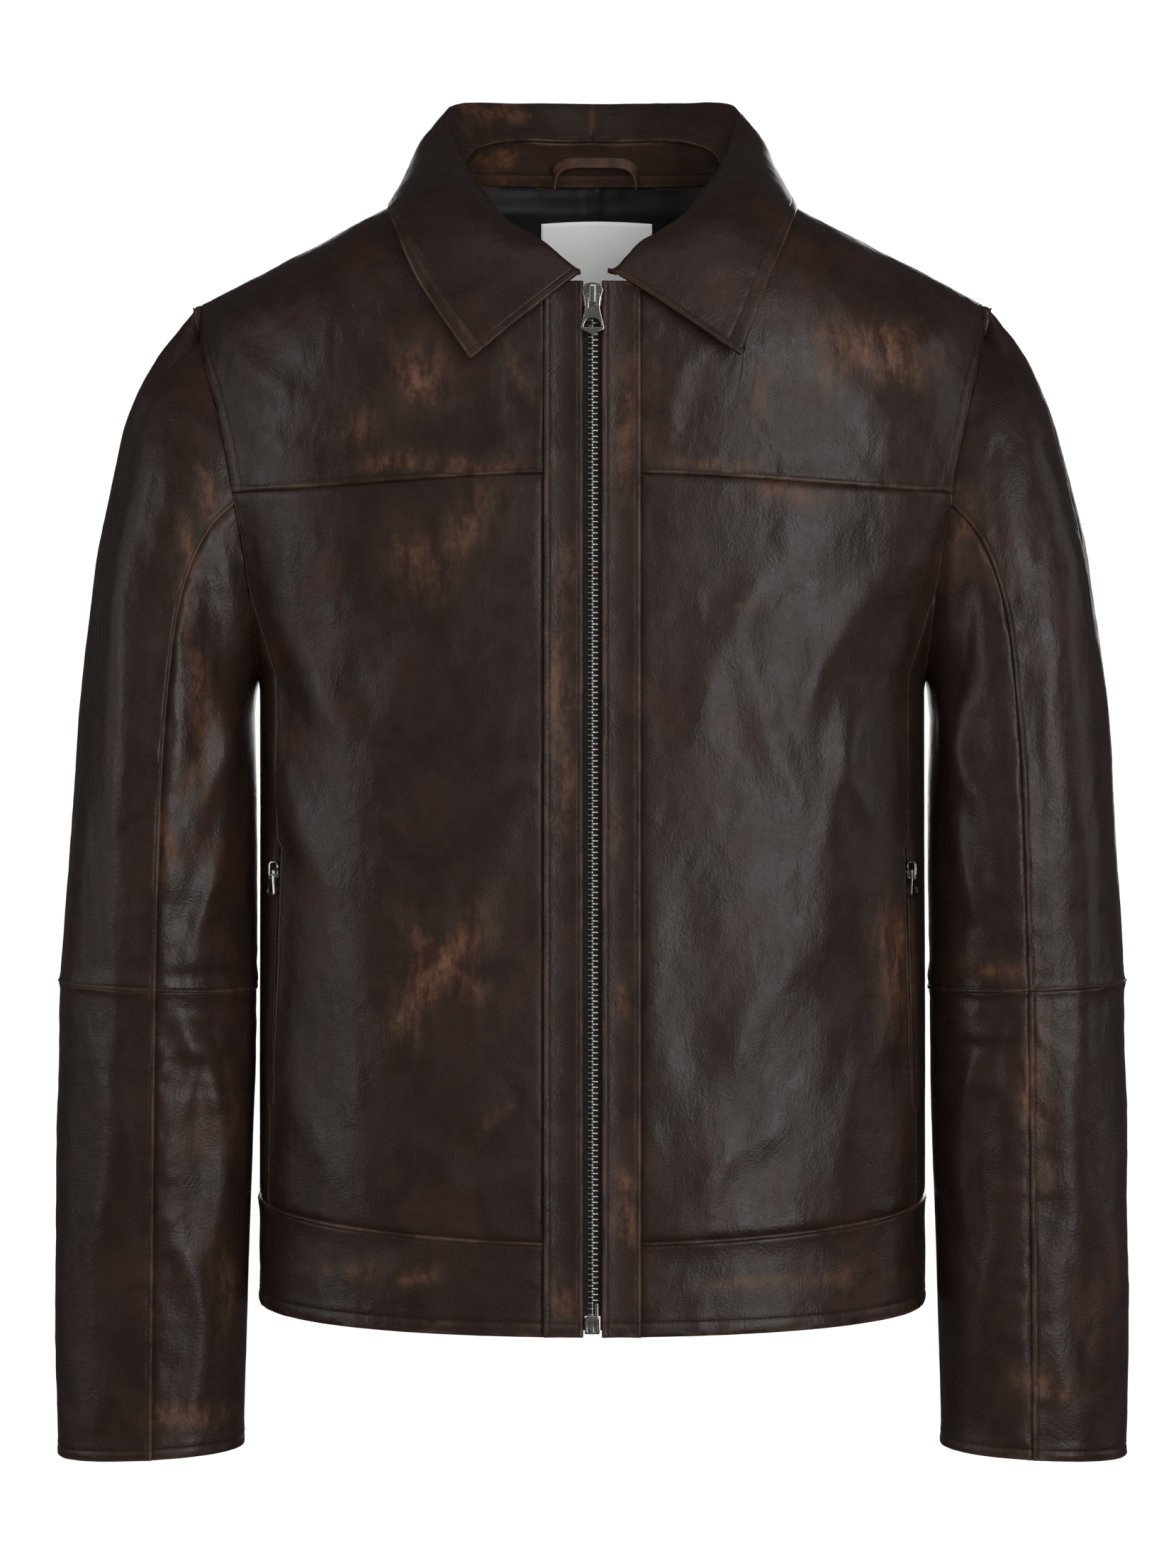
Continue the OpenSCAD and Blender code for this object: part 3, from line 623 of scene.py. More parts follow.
def leather_material(name, dark, red, tan):
    """Aged hide: a mottled ground, red and then tan where it is rubbed, pale worn edges, and painted shade
    that darkens the stitched creases.
    """
    m, t, bsdf = nodes_of(name)
    rest = attribute(t, "rest").outputs["Vector"]
    wear, rub, crease_shade = (attribute(t, k).outputs["Fac"] for k in ("wear", "rub", "crease_shade"))
    broad = noise_tex(t, rest, 9.0, 4.0, .6)
    cloudy = noise_tex(t, rest, 30.0, 5.0, .62, distortion=.6)
    speck = noise_tex(t, rest, 230.0, 5.0, .7)
    streak = noise_tex(t, rest, 120.0, 5.0, .7, stretch=(1.0, 1.0, .35))
    # the darker tone is painted shade for the stitched creases; the lighter one mottles the ground
    crease_shade_colour, lighter = shades(dark, .45, 1.35)
    hide = blend_colour(t, ramp(t, cloudy, .35, .7), dark, lighter)
    redness = times(t, ramp(t, broad, .50, .70), ramp(t, cloudy, .38, .66))
    hide = blend_colour(t, times(t, redness, .8), hide, red)
    worn = times(t, rub, ramp(t, streak, .36, .66))
    worn = times(t, worn, ramp(t, speck, .30, .62, .35, 1.0))
    hide = blend_colour(t, times(t, ramp(t, rub, .08, .75), .62), hide, red)
    hide = blend_colour(t, worn, hide, tan)
    edge = times(t, wear, ramp(t, cloudy, .40, .62, .12, 1.0))
    edge = times(t, edge, ramp(t, streak, .32, .6, .45, 1.0))
    hide = blend_colour(t, times(t, edge, .72), hide, WORN_EDGE)
    # painted shade: the stitched crease lines are darkened in the colour itself
    hide = blend_colour(t, times(t, crease_shade, .5), hide, crease_shade_colour)
    rough = math_node(t, "ADD", ramp(t, cloudy, .3, .7, .32, .43), math_node(t, "MULTIPLY", worn, .16))
    rough = math_node(t, "ADD", rough, ramp(t, speck, .3, .7, -.03, .03))
    wobble = add(t, "ShaderNodeTexNoise", {"Scale": 140.0, "Vector": rest})
    small = add(t, "ShaderNodeVectorMath", {"Scale": .004, 0: wobble.outputs["Color"]}, operation="SCALE")
    warp = add(t, "ShaderNodeVectorMath", {0: rest, 1: small.outputs[0]}, operation="ADD")
    cells = add(t, "ShaderNodeTexVoronoi", {"Scale": 620.0, "Smoothness": .55, "Vector": warp.outputs[0]},
                feature="SMOOTH_F1")
    wrinkle = noise_tex(t, rest, 75.0, 5.0, .6, stretch=(1.0, 1.0, .45), distortion=1.2)
    height = math_node(t, "ADD", math_node(t, "MULTIPLY", cells.outputs["Distance"], .5),
                       math_node(t, "MULTIPLY", wrinkle, 1.6))
    feed(t, bsdf, {"Base Color": hide, "Roughness": rough, "Specular IOR Level": .27,
                   "Normal": bump_node(t, height, .32, .0007)})
    return m


def plain_material(name, colour, roughness, metallic=0.0, grain=400.0, depth_m=.0002, strength=.3,
                   spread=.12):
    """One colour with a fine grain: metal, thread or the flesh side of leather."""
    m, t, bsdf = nodes_of(name)
    rest = attribute(t, "rest").outputs["Vector"]
    tone = noise_tex(t, rest, grain, 4.0, .6)
    slow = noise_tex(t, rest, grain / 12, 3.0)
    lo, hi = shades(colour, 1 - spread, 1 + spread)
    feed(t, bsdf, {"Base Color": blend_colour(t, ramp(t, slow, .35, .65), lo, hi),
                   "Roughness": ramp(t, tone, .3, .7, roughness * .85, min(1, roughness * 1.18)),
                   "Metallic": metallic, "Normal": bump_node(t, tone, strength, depth_m)})
    return m


def woven_material(name, colour, roughness, scale, specular=.4, strength=.5, sheen=.2, object_space=False):
    """Cloth with crossed threads; the CAD's own nodes have no rest points, so they use object space."""
    m, t, bsdf = nodes_of(name)
    rest = (add(t, "ShaderNodeTexCoord", {}).outputs["Object"] if object_space
            else attribute(t, "rest").outputs["Vector"])
    inputs = {"Scale": scale, "Distortion": .4, "Vector": rest}
    waves = [add(t, "ShaderNodeTexWave", inputs, wave_type="BANDS", bands_direction=way).outputs["Fac"]
             for way in ("X", "Z")]
    weave = math_node(t, "MULTIPLY", *waves)
    tone = math_node(t, "MULTIPLY", math_node(t, "ADD", weave, noise_tex(t, rest, 40.0, 3.0)), .5)
    feed(t, bsdf, {"Base Color": blend_colour(t, tone, *shades(colour, .8, 1.15)), "Roughness": roughness,
                   "Specular IOR Level": specular, "Sheen Weight": sheen,
                   "Normal": bump_node(t, weave, strength, .00015)})
    return m


DARK, RED, TAN = (.0150, .0086, .0066), (.030, .0110, .0075), (.135, .066, .034)
WORN_EDGE = (.085, .046, .028)
POLISH = {"metallic": 1.0, "grain": 700.0, "depth_m": .00004}
LEATHER = leather_material("leather_aged_brown", DARK, RED, TAN)
FACING = leather_material("leather_facing_brown", (.026, .0150, .0112), (.060, .024, .014), (.19, .088, .042))
SUEDE = plain_material("leather_flesh_side", (.030, .019, .014), .92, grain=900.0, strength=.4)
THREAD = plain_material("thread_dark_brown", (.0150, .0095, .0075), .62, grain=2500.0, strength=.5, spread=.2)
SATIN = woven_material("satin_black", (.0065, .0065, .0070), .52, 900.0, .30, .15, .05)
LABEL = woven_material("satin_label", (.90, .89, .875), .48, 1400.0, strength=.3)
TAPE = woven_material("zip_tape_woven", (.0085, .0065, .0055), .78, 700.0, strength=.8, object_space=True)
CLOTH = woven_material("pocket_cotton", (.014, .013, .013), .85, 1000.0)
NICKEL = plain_material("nickel_polished", (.66, .645, .61), .20, spread=.05, **POLISH)
NICKEL_TEETH = plain_material("nickel_teeth", (.70, .68, .64), .30, spread=.06, **POLISH)


# ------------------------------------------------------------------ folds over each part
TORSO_FOLDS = [  # x and z of both ends, width, height
    (-196, 470, -120, 330, 12, 2.4), (-200, 440, -150, 250, 10, 2.0), (-60, 470, -130, 300, 16, 1.2),
    (196, 470, 120, 340, 11, 2.6), (200, 430, 140, 260, 10, 2.0), (120, 470, 60, 330, 12, 1.6),
    (90, 430, 140, 300, 9, 1.1), (150, 400, 178, 290, 8, 1.3), (-150, 240, -60, 130, 13, 1.5),
    (150, 250, 70, 120, 13, 1.6), (-185, 200, -150, 80, 10, 1.6), (185, 190, 150, 80, 10, 1.6),
    (-40, 330, -70, 150, 12, 1.1), (45, 300, 70, 90, 12, 1.2), (-110, 120, -60, 80, 9, 1.2),
    (120, 125, 60, 80, 9, 1.2)]
YOKE_FOLDS = [
    (-232, 610, -150, 545, 9, 1.4), (232, 610, 160, 545, 9, 1.3), (-225, 560, -150, 520, 8, 1.0),
    (120, 600, 215, 540, 10, .9), (-60, 590, -45, 520, 7, .8), (60, 590, 48, 520, 7, .8)]
SLEEVE_FOLDS = [
    (222, 470, 240, 300, 7, 3.2), (300, 480, 306, 260, 13, 2.2), (240, 180, 236, 30, 7, 3.0),
    (300, 180, 310, 20, 13, 1.8), (232, 400, 246, 215, 6, 2.4), (252, 190, 248, 120, 6, 1.8),
    (255, 60, 240, -60, 8, 1.8), (285, 60, 300, -70, 10, 1.4), (232, 530, 262, 590, 9, 1.8)]


def torso_relief(p):
    """Folds of the body, flat beside the lower armhole."""
    x, z, y = p[..., 0], p[..., 2], p[..., 1]
    front = 1 - smooth(-30, 10, y)
    drape = 1.8 * fbm(p, (66, 66, 200), 11, 2)
    drape = drape + .40 * fbm(p, (18, 18, 42), 17, 2) + .16 * fbm(p, (5, 5, 7), 23, 2)
    beside_armhole = smooth(188, 204, np.abs(x)) * smooth(460, 380, z)
    return (drape + ridges(p, TORSO_FOLDS) * front) * (1 - .8 * beside_armhole)


def yoke_relief(p):
    drape = 1.2 * fbm(p, (70, 60, 70), 41, 2) + .4 * fbm(p, (18, 18, 22), 43, 2)
    drape = drape + .14 * fbm(p, (5, 5, 6), 23, 2)
    front = 1 - smooth(-20, 20, p[..., 1])
    return drape + ridges(p, YOKE_FOLDS) * front


def band_relief(p):
    return .55 * fbm(p, (26, 26, 40), 51, 2) + .22 * fbm(p, (7, 7, 12), 53, 2)


def placket_relief(p):
    return .30 * fbm(p, (40, 40, 26), 61, 1) + .22 * fbm(p, (14, 14, 7), 63, 1)


def sleeve_relief(p):
    """Folds of a sleeve, the same on both: long ones, and short ones that cross it inside the elbow."""
    q = p.copy()
    q[..., 0] = np.abs(q[..., 0])
    z = q[..., 2]
    drape = 2.4 * fbm(p, (46, 46, 190), 71, 2) * smooth(640, 520, z)
    drape = drape + .5 * fbm(p, (15, 15, 60), 73, 2) + .17 * fbm(p, (5, 5, 8), 79, 2)
    inner = 1 - smooth(225, 290, q[..., 0])
    elbow = gauss(z - 205, 70)
    cross = (1.6 * elbow * inner + .5 * gauss(z - 400, 60) * inner) * fbm(p, (60, 60, 11), 83, 1)
    front = 1 - smooth(-30, 20, q[..., 1])
    folds = drape + cross + ridges(q, SLEEVE_FOLDS) * front
    return folds * smooth(-95, -60, z) * (.25 + .75 * smooth(206, 232, q[..., 0]))


def warp_yoke(p):
    """Bows the yoke seam: a little high at the placket and low at the armhole."""
    x = np.abs(p[..., 0])
    shift = mix(5.0, -4.0, smooth(20, 220, x)) * gauss(p[..., 2] - YOKE_Z, 55)
    q = p.copy()
    q[..., 2] += shift * (1 - smooth(-40, 0, p[..., 1]))
    return q


# ------------------------------------------------------------------ the shared frame, and pieces with their transforms baked
def row(p):
    """From design millimetres to the shared frame's metres."""
    return tuple((np.asarray(p, float) - LOOP_AT) / 1000)


def open_front(obj):
    """Bakes the transform of leather on a front, which swings on a line, into its mesh."""
    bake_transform(obj)


def raise_sleeve(obj):
    """Bakes the transform of an upper sleeve's leather into its mesh; the sleeve turns from the foot of the
    armhole, outwards and a little down.
    """
    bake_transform(obj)


def bend_elbow(obj):
    """Bakes the transform of leather on both sides of the elbow into its mesh."""
    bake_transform(obj)


def finish_piece(obj, slot, *replaced):
    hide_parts(*replaced)
    return obj


# ------------------------------------------------------------------ leather panels
PLACKET_EDGE = 28.2     # x where the panels go under the placket
SLOT_SHARE = .46        # how much of the pocket's slot each of its two edges leaves open
ZIP_C, ZIP_S = math.cos(math.atan(ZIP_LEAN)), math.sin(math.atan(ZIP_LEAN))


def front_panel_shape(s, t):
    def placket_u(z):
        return torso_u(PLACKET_EDGE, z)

    def pocket_u(z):
        return np.minimum(look(z, POCKET_U) - look(z, POCKET_SLOT) * SLOT_SHARE, side_u(z) - .1)
    z_mid = mix(BAND_Z + 10, YOKE_Z, t)
    z = mix(band_top(mix(placket_u(z_mid), pocket_u(z_mid), s)), YOKE_Z, t)
    return warp_yoke(torso(mix(placket_u(z), pocket_u(z), s), z))


def neck_trim(x):
    """How many degrees of v the collar takes off the neckline."""
    return 9.0 * gauss(np.abs(x) - 74, 21) * smooth(91, 83, np.abs(x))


def front_yoke_shape(s, t):
    x = mix(PLACKET_EDGE, arm_x_at_v(90 * np.clip(t, 0, 1)), s)
    top = neck_v(np.abs(x), False) - .2 - neck_trim(x)
    return warp_yoke(upper(x, mix(0.0, top, np.clip(t, -.05, 1.0)), False))


def back_yoke_shape(s, t):
    """The back yoke, averaged across so that no crease shows below the collar."""
    x = (1 - 2 * s) * arm_x_at_v(90 * np.clip(t, 0, 1))
    q = np.clip(t, -.05, 1.0)
    even = sum(neck_v(np.abs(np.abs(x) + d), True) for d in range(-36, 37, 9)) / 9
    v = q * (mix(even, neck_v(np.abs(x), True), q ** 4) - .2)
    soft = sum(upper(x + d, v, True) for d in range(-24, 25, 6)) / 9
    share = (1 - np.maximum(q, 0) ** 6) * smooth(150, 120, np.abs(x))
    return mix(upper(x, v, True), soft, share[..., None])


def back_panel_shape(s, t):
    z = mix(BAND_Z, YOKE_Z, t)
    edge = np.maximum(SIDE_BACK_U, np.where(z < 450, SIDE_BACK_U, 180 - side_u(np.minimum(z, YOKE_Z))))
    u = mix(edge, 360 - edge, s)
    return torso(u, mix(band_top(u), YOKE_Z, t))


def side_panel_shape(s, t):
    u_mid = mix(64.0, SIDE_BACK_U, s)
    z = mix(band_top(u_mid), armhole_z(np.clip(u_mid, 62, 118)), t)
    u = mix(look(z, POCKET_U) + look(z, POCKET_SLOT) * SLOT_SHARE, SIDE_BACK_U, s)
    return torso(u, mix(band_top(u), armhole_z(u), t))


def band_shape(u0, u1):
    def shape(s, t):
        u = mix(u0, u1, s)
        return torso(u, mix(hem_z(u), band_top(u), t))
    return shape


def placket_shape(s, t):
    x = mix(5.6, 29.0, s)
    z = mix(.5, 628.5, t)
    return pack3(x, -ZIP_D - 3.2 * ZIP_C + z * ZIP_S, z * ZIP_C)


for left in (True, False):
    side = FRONT_NAMES[left]
    piece = panel("front_panel_" + side, front_panel_shape, ("tuck", "lap", "tuck", "tuck"), from_axis,
                  torso_relief, not left)
    finish_piece(piece, "leather", "front_panel_inner_" + side, "front_panel_outer_" + side)
    open_front(piece)
    piece = panel("front_yoke_" + side, front_yoke_shape, ("tuck", "band", "lap", "tuck"), high_out,
                  yoke_relief, not left, gather=(.6, (9, 9, 14.0)))
    finish_piece(piece, "leather", "front_yoke_inner_" + side, "front_yoke_outer_" + side)
    open_front(piece)
    piece = panel("front_hem_band_" + side, band_shape(torso_u(PLACKET_EDGE, 30.0), 89.8),
                  ("tuck", "tuck", "hem", "lap"), from_axis, band_relief, not left, gather=(.9, (9, 9, 40.0)))
    finish_piece(piece, "leather", "hem_band_inner_" + side, "hem_band_outer_" + side)
    open_front(piece)
    piece = panel("placket_band_" + side, placket_shape, ("lap", "lap", "hem", "open"),
                  lambda p: p * 0 + np.array([0, -1.0, 0]), placket_relief, not left, thick=1.6, pitch=2.4)
    finish_piece(piece, "leather", "placket_" + side)
    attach(piece, "front_" + side)
    piece = panel("side_panel_leather_" + side, side_panel_shape, ("tuck", "tuck", "tuck", "band"), from_axis,
                  torso_relief, not left)
    finish_piece(piece, "leather", "side_panel_" + side)
    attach(piece, "torso")

piece = panel("back_panel_leather", back_panel_shape, ("lap", "lap", "tuck", "tuck"), from_axis, torso_relief)
finish_piece(piece, "leather", "back_panel")
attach(piece, "torso")
piece = panel("back_yoke_leather", back_yoke_shape, ("band", "band", "lap", "lap"), high_out, yoke_relief)
finish_piece(piece, "leather", "back_yoke")
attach(piece, "torso")
piece = panel("back_hem_band_leather", band_shape(90.2, 269.8), ("lap", "lap", "hem", "lap"), from_axis,
              band_relief, gather=(.9, (9, 9, 40.0)))
finish_piece(piece, "leather", "back_hem_band")
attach(piece, "torso")


# ------------------------------------------------------------------ collar
def neck_point(x, back):
    """A point of the neck seam."""
    x = np.array(float(x))
    return upper(x, neck_v(x, back) - (0 if back else neck_trim(x)), back)


NECK_LINE = np.array([neck_point(x, i > 6) for i, x in enumerate(NECK_X)])
# rows of the collar: its share of t, its place from neck seam to fold (or fold to edge), lift, rise
STAND_ROWS = ((0, 0, 0, 0), (.16, .5, -.10, 0), (.27, .86, -.08, -.4), (.315, 1, 0, -.9))
LEAF_ROWS = ((.335, 0, 0, .2), (.365, .045, .26, 0), (.42, .13, .62, 0), (.58, .35, 1, 0), (.80, .68, .62, 0),
             (1.0, 1, 0, 0))


def collar_shape(left):
    edge, fold = [list(e) for e in EDGE_LINE], [list(f) for f in FOLD_LINE]
    edge[0][0], edge[0][2] = TIP[left]
    edge[1][0] += .45 * (TIP[left][0] - 80)
    fold[0][0] = THROAT_X[left]

    def shape(s, t):
        """s runs from throat to centre back, and t from the neck seam over the fold to the leaf's edge."""
        k = np.clip(s, -.02, 1.0) * 10
        n, f, e = curve(NECK_LINE, k), curve(fold, k), curve(edge, k)
        after, before = np.minimum(k + .05, 10), np.maximum(k - .05, 0)
        ahead = curve(fold, after) + curve(edge, after) - curve(fold, before) - curve(edge, before)
        face = np.cross(ahead, e - f)
        face /= np.linalg.norm(face, axis=-1, keepdims=True)
        out = (f + e) / 2 - pack3(0 * k, 10 + 0 * k, (f + e)[..., 2] / 2 - 60)
        face = face * np.sign((face * out).sum(-1, keepdims=True))
        lift = np.interp(k, np.arange(11), LEAF_LIFT)[..., None] * face
        x = np.clip(n[..., 0], -1, 89)
        behind = smooth(5.2, 7.2, k)[..., None]
        n = mix(n, upper(x, neck_v(np.abs(x), True), True), smooth(6.3, 7.0, k)[..., None])
        inwards = -n * np.array([1, 1, 0]) / np.linalg.norm(n[..., :2] + 1e-6, axis=-1, keepdims=True)
        drop = -1.5 - 4.0 * np.minimum(x / 60, 1.2) ** 2
        n = n + behind * (inwards * 4.6 + pack3(0 * k, 0 * k, drop)) + np.array([0, 0, 1.4])
        rows = np.stack([mix(a, b, share) + bulge * lift + rise * UP
                         for a, b, part in ((n, f, STAND_ROWS), (f, e, LEAF_ROWS))
                         for _, share, bulge, rise in part])
        last = len(rows) - 1
        place = np.interp(np.clip(t, 0, 1), [r[0] for r in STAND_ROWS + LEAF_ROWS], np.arange(last + 1.0))
        i = np.clip(np.floor(place), 0, last - 1).astype(int)

        def take(j):
            return np.take_along_axis(rows, np.clip(j, 0, last)[None, ..., None], 0)[0]
        return cubic(take(i - 1), take(i), take(i + 1), take(i + 2), (place - i)[..., None])
    return shape


def upwards(p):
    return p * 0 + UP


def collar_relief(p):
    return .5 * fbm(p, (30, 30, 24), 91, 2) + .16 * fbm(p, (6, 6, 6), 93, 2)


for left in (True, False):
    side = FRONT_NAMES[left]
    piece = panel("collar_" + side, collar_shape(left), ("free", "open", "lap", "free"), upwards,
                  collar_relief, not left, thick=1.9, lift=1.9, pucker=.8, pitch=2.2)
    finish_piece(piece, "leather", "collar_wing_" + side, "collar_back")
    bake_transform(piece)


# ------------------------------------------------------------------ sleeves
def sleeve_out(p):
    c = np.stack([np.sign(p[..., 0]) * 268, p[..., 1] * 0, p[..., 2]], -1)
    return p - c


def upper_part(a0, a1):
    def shape(s, t):
        return cap_sleeve(t * 7, mix(a0, a1, s))
    return shape


def lower_part(a0, a1):
    def shape(s, t):
        return sleeve(LOWER_SLEEVE, np.clip(t, -.05, 1.02) * 3, mix(a0, a1, s))
    return shape


for left in (True, False):
    side = FRONT_NAMES[left]
    for part, a0, a1, ends in (("outer", SLEEVE_BACK - 360, SLEEVE_FRONT, ("lap", "lap")),
                               ("under", SLEEVE_FRONT, SLEEVE_BACK, ("tuck", "tuck"))):
        piece = panel(f"upper_sleeve_{part}_leather_{side}", upper_part(a0, a1), (*ends, "tuck", "lap"),
                      sleeve_out, sleeve_relief, not left, gather=(1.5, (40, 40, 8.0)))
        finish_piece(piece, "leather", f"upper_sleeve_{part}_{side}")
        raise_sleeve(piece)
        piece = panel(f"lower_sleeve_{part}_leather_{side}", lower_part(a0, a1), (*ends, "puff", "hem"),
                      sleeve_out, sleeve_relief, not left, gather=(1.2, (16, 16, 9.0)))
        finish_piece(piece, "leather", f"lower_sleeve_{part}_{side}")
        bend_elbow(piece)


# ------------------------------------------------------------------ linings, facings, label, loop
def flat_size(g):
    """Width, length and area in metres of the surface through a grid."""
    across, along = g[1:, :-1] - g[:-1, :-1], g[:-1, 1:] - g[:-1, :-1]
    area = np.linalg.norm(np.cross(across, along), axis=-1).sum() / 1e6
    wide, high = arc(g, 0).max() / 1000, arc(g, 1).max() / 1000
    return [float(wide), float(high), float(min(area, wide * high))]


def lining(name, shape, outward, inset, mirror=False, thick=.8, material=SATIN, amount=1.0, pitch=5.0,
           relief=None):
    """A thin sheet hung inset inside a surface, with waves of the given amount and a relief of its own."""
    coarse = sampled(shape, EVEN, EVEN)
    steps = [np.linspace(0, 1, max(8, int(arc(coarse, axis).max() / pitch))) for axis in (0, 1)]
    grid = sampled(shape, *steps)
    if mirror:
        grid = grid * MIRROR
    normals, flip = faced(grid, outward)
    wave = amount * (fbm(grid, (30, 30, 90), 101, 2) + .35 * fbm(grid, (9, 9, 22), 103, 2))
    if relief is not None:
        wave = wave + relief(grid)
    outer = grid - normals * (inset - wave)[..., None]
    verts, quads, _, _ = closed_sheet(outer, outer - normals * thick, .1)
    if flip:
        quads = quads[:, ::-1]
    rub = rubbed(verts) if material is FACING else 0
    obj = to_mesh(name, verts, quads, [material], None, {"wear": 0, "rub": rub, "crease_shade": 0})
    obj["flat"] = flat_size(outer)
    return obj


LINING_TOP = 640.0
FRONT_LINING_V = 76.5   # v that the front linings may not pass


def fold_x(z):
    """x of the line that the fronts swing on."""
    return mix(160.0, 60.0, z / 665)


def front_lining_shape(s, t):
    z = mix(16.0, LINING_TOP, t)
    z_low = np.minimum(z, YOKE_Z)
    low = torso(mix(torso_u(fold_x(z) + 8, z_low), np.minimum(side_u(z_low), 89.0), s), z_low)
    v = 90 * np.clip((z - YOKE_Z) / (LINING_TOP - YOKE_Z), 0, 1)
    x = mix(fold_x(np.minimum(z, LINING_TOP)) + 8, arm_x_at_v(v) - 6, s)
    reach = np.minimum(FRONT_LINING_V, neck_v(np.maximum(x - 9, 12), False) - 9 - neck_trim(x))
    return np.where((z > YOKE_Z)[..., None], upper(x, v / 90 * reach, False), low)


def back_lining_shape(s, t):
    z = mix(16.0, YOKE_Z, np.clip(t / .72, 0, 1))
    edge = np.where(z < UNDER_Z, 91.0, 180 - side_u(np.minimum(z, YOKE_Z)))
    u = mix(edge, 360 - edge, s)
    low = torso(u, z)
    q = np.clip((t - .72) / .28, 0, 1)
    x = (1 - 2 * s) * (arm_x_at_v(80 * q) - 6)
    high = upper(x, q * np.minimum(80, upper_v(np.abs(x), 715.0, True)), True)
    return np.where((t > .72)[..., None], high, low)


def facing_shape(s, t):
    z = mix(9.0, YOKE_Z, np.clip(t / .8, 0, 1))
    low = torso(mix(torso_u(9.0, z), torso_u(fold_x(z) + 10, z), s), z)
    q = np.clip((t - .8) / .2, 0, 1)
    x = mix(9.0, fold_x(mix(YOKE_Z, LINING_TOP, q)) + 10, s)
    high = upper(x, q * (neck_v(x, False) - 5 - neck_trim(x)), False)
    return np.where((t > .8)[..., None], high, low)


def neck_facing_shape(s, t):
    x = (1 - 2 * s) * 86.0
    top = neck_v(np.abs(x), True) + .6 + .8 * gauss(x, 36)
    return upper(x, mix(np.minimum(upper_v(np.abs(x), 710.0, True), top - 3), top, t), True)


def label_shape(s, t):
    x = 3.0 + (1 - 2 * s) * 37.0
    return upper(x, upper_v(np.abs(x), mix(640, 689 + 1.5 * np.sin(math.pi * s), t), True), True)


def upper_lining_shape(s, t):
    return cap_sleeve(mix(.5, 7.0, t), mix(-179.0, 179.0, s))


def lower_lining_shape(s, t):
    return sleeve(LOWER_SLEEVE, mix(0.0, 2.96, t), mix(-179.0, 179.0, s))


def pocket_shape(s, t):
    z = mix(92.0, 276.0, t)
    return torso(mix(torso_u(fold_x(z) + 8, z), look(z, POCKET_U) - 5, s), z)


def pleat(p):
    """A soft pleat down the middle, and the top edge drawn back behind the neck facing."""
    x, y, z = p[..., 0], p[..., 1], p[..., 2]
    soft = 1.6 * fbm(p, (26, 60, 34), 107, 1) * smooth(560, 640, z)
    fold = 2.0 * gauss(np.abs(x) - 3, 2.2) * smooth(380, 640, z)
    return smooth(0, 20, y) * (fold + soft + 9.5 * smooth(696, 708, z))


def facing_relief(p):
    return .5 * fbm(p, (14, 14, 20), 95, 3)


for left in (True, False):
    side = FRONT_NAMES[left]
    piece = lining("front_lining_satin_" + side, front_lining_shape, high_out, 10.0, not left)
    finish_piece(piece, "lining_satin", "front_lining_" + side)
    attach(piece, "torso")
    piece = lining("front_facing_leather_" + side, facing_shape, high_out, 6.0, not left, 1.0, FACING, .4)
    finish_piece(piece, "leather_facing", "front_facing_" + side)
    open_front(piece)
    piece = lining("pocket_bag_cotton_" + side, pocket_shape, from_axis, 5.4, not left, 1.4, CLOTH, .4)
    finish_piece(piece, "pocket_cloth", "pocket_bag_" + side)
    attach(piece, "torso")
    piece = lining("upper_sleeve_lining_satin_" + side, upper_lining_shape, sleeve_out, 6.0, not left)
    finish_piece(piece, "lining_satin", "upper_sleeve_lining_" + side)
    raise_sleeve(piece)
    piece = lining("lower_sleeve_lining_satin_" + side, lower_lining_shape, sleeve_out, 6.0, not left)
    finish_piece(piece, "lining_satin", "lower_sleeve_lining_" + side)
    bend_elbow(piece)

piece = lining("back_lining_satin", back_lining_shape, high_out, 10.0, relief=pleat, pitch=4.0)
finish_piece(piece, "lining_satin", "back_lining")
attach(piece, "torso")
piece = panel("neck_facing_leather", neck_facing_shape, ("open", "open", "hem", "open"),
              lambda p: -high_out(p), facing_relief, thick=1.0, lift=4.6,
              material=[FACING, SUEDE, THREAD], pitch=2.4)
finish_piece(piece, "leather_facing", "neck_facing")
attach(piece, "torso")
piece = lining("neck_label_satin", label_shape, high_out, 13.0, False, .8, LABEL, .25, 2.5)
finish_piece(piece, "label_satin", "neck_label")
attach(piece, "torso")


def squared(b, power_c, power_s):
    """Cosine and sine of an angle, drawn out towards the corners of a square by powers below 1."""
    c, s = math.cos(b), math.sin(b)
    return np.sign(c) * abs(c) ** power_c, np.sign(s) * abs(s) ** power_s


def tube_strip(name, path, half_width, half_thick, across, material, sides=20):
    """A flat strip with rounded edges along a path; across gives its width direction."""
    path = np.asarray(path, float)
    ahead = np.gradient(path, axis=0)
    ahead /= np.linalg.norm(ahead, axis=-1, keepdims=True)
    wide = across - (ahead * across).sum(-1, keepdims=True) * ahead
    wide /= np.linalg.norm(wide, axis=-1, keepdims=True)
    thick = np.cross(ahead, wide)
    ring = []
    for k in range(sides):
        c, s = squared(2 * math.pi * k / sides, .45, .6)
        ring.append(path + wide * half_width * c + thick * half_thick * s)
    verts = np.stack(ring, 1).reshape(-1, 3)
    quads = tube_quads(len(path), sides, -1)
    return to_mesh(name, verts, quads, [material], None, {"wear": .3, "rub": .25, "crease_shade": 0})


def loop_path(steps=60):
    """The hanger loop, a low arch with square shoulders behind the neck."""
    pts = []
    for k in range(steps + 1):
        b = math.pi * (1 - k / steps)
        c, s = squared(b, .42, .46)
        pts.append((2.0 + 26.0 * c, 70.5 + 3.0 * (1 - abs(math.sin(b))), 704.5 + 17.5 * s))
    return pts


piece = tube_strip("hanger_loop_strap", loop_path(), 3.7, .9, np.array([0.0, .25, 1.0]), FACING)
finish_piece(piece, "leather_facing", "hanger_loop")
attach(piece, "torso")

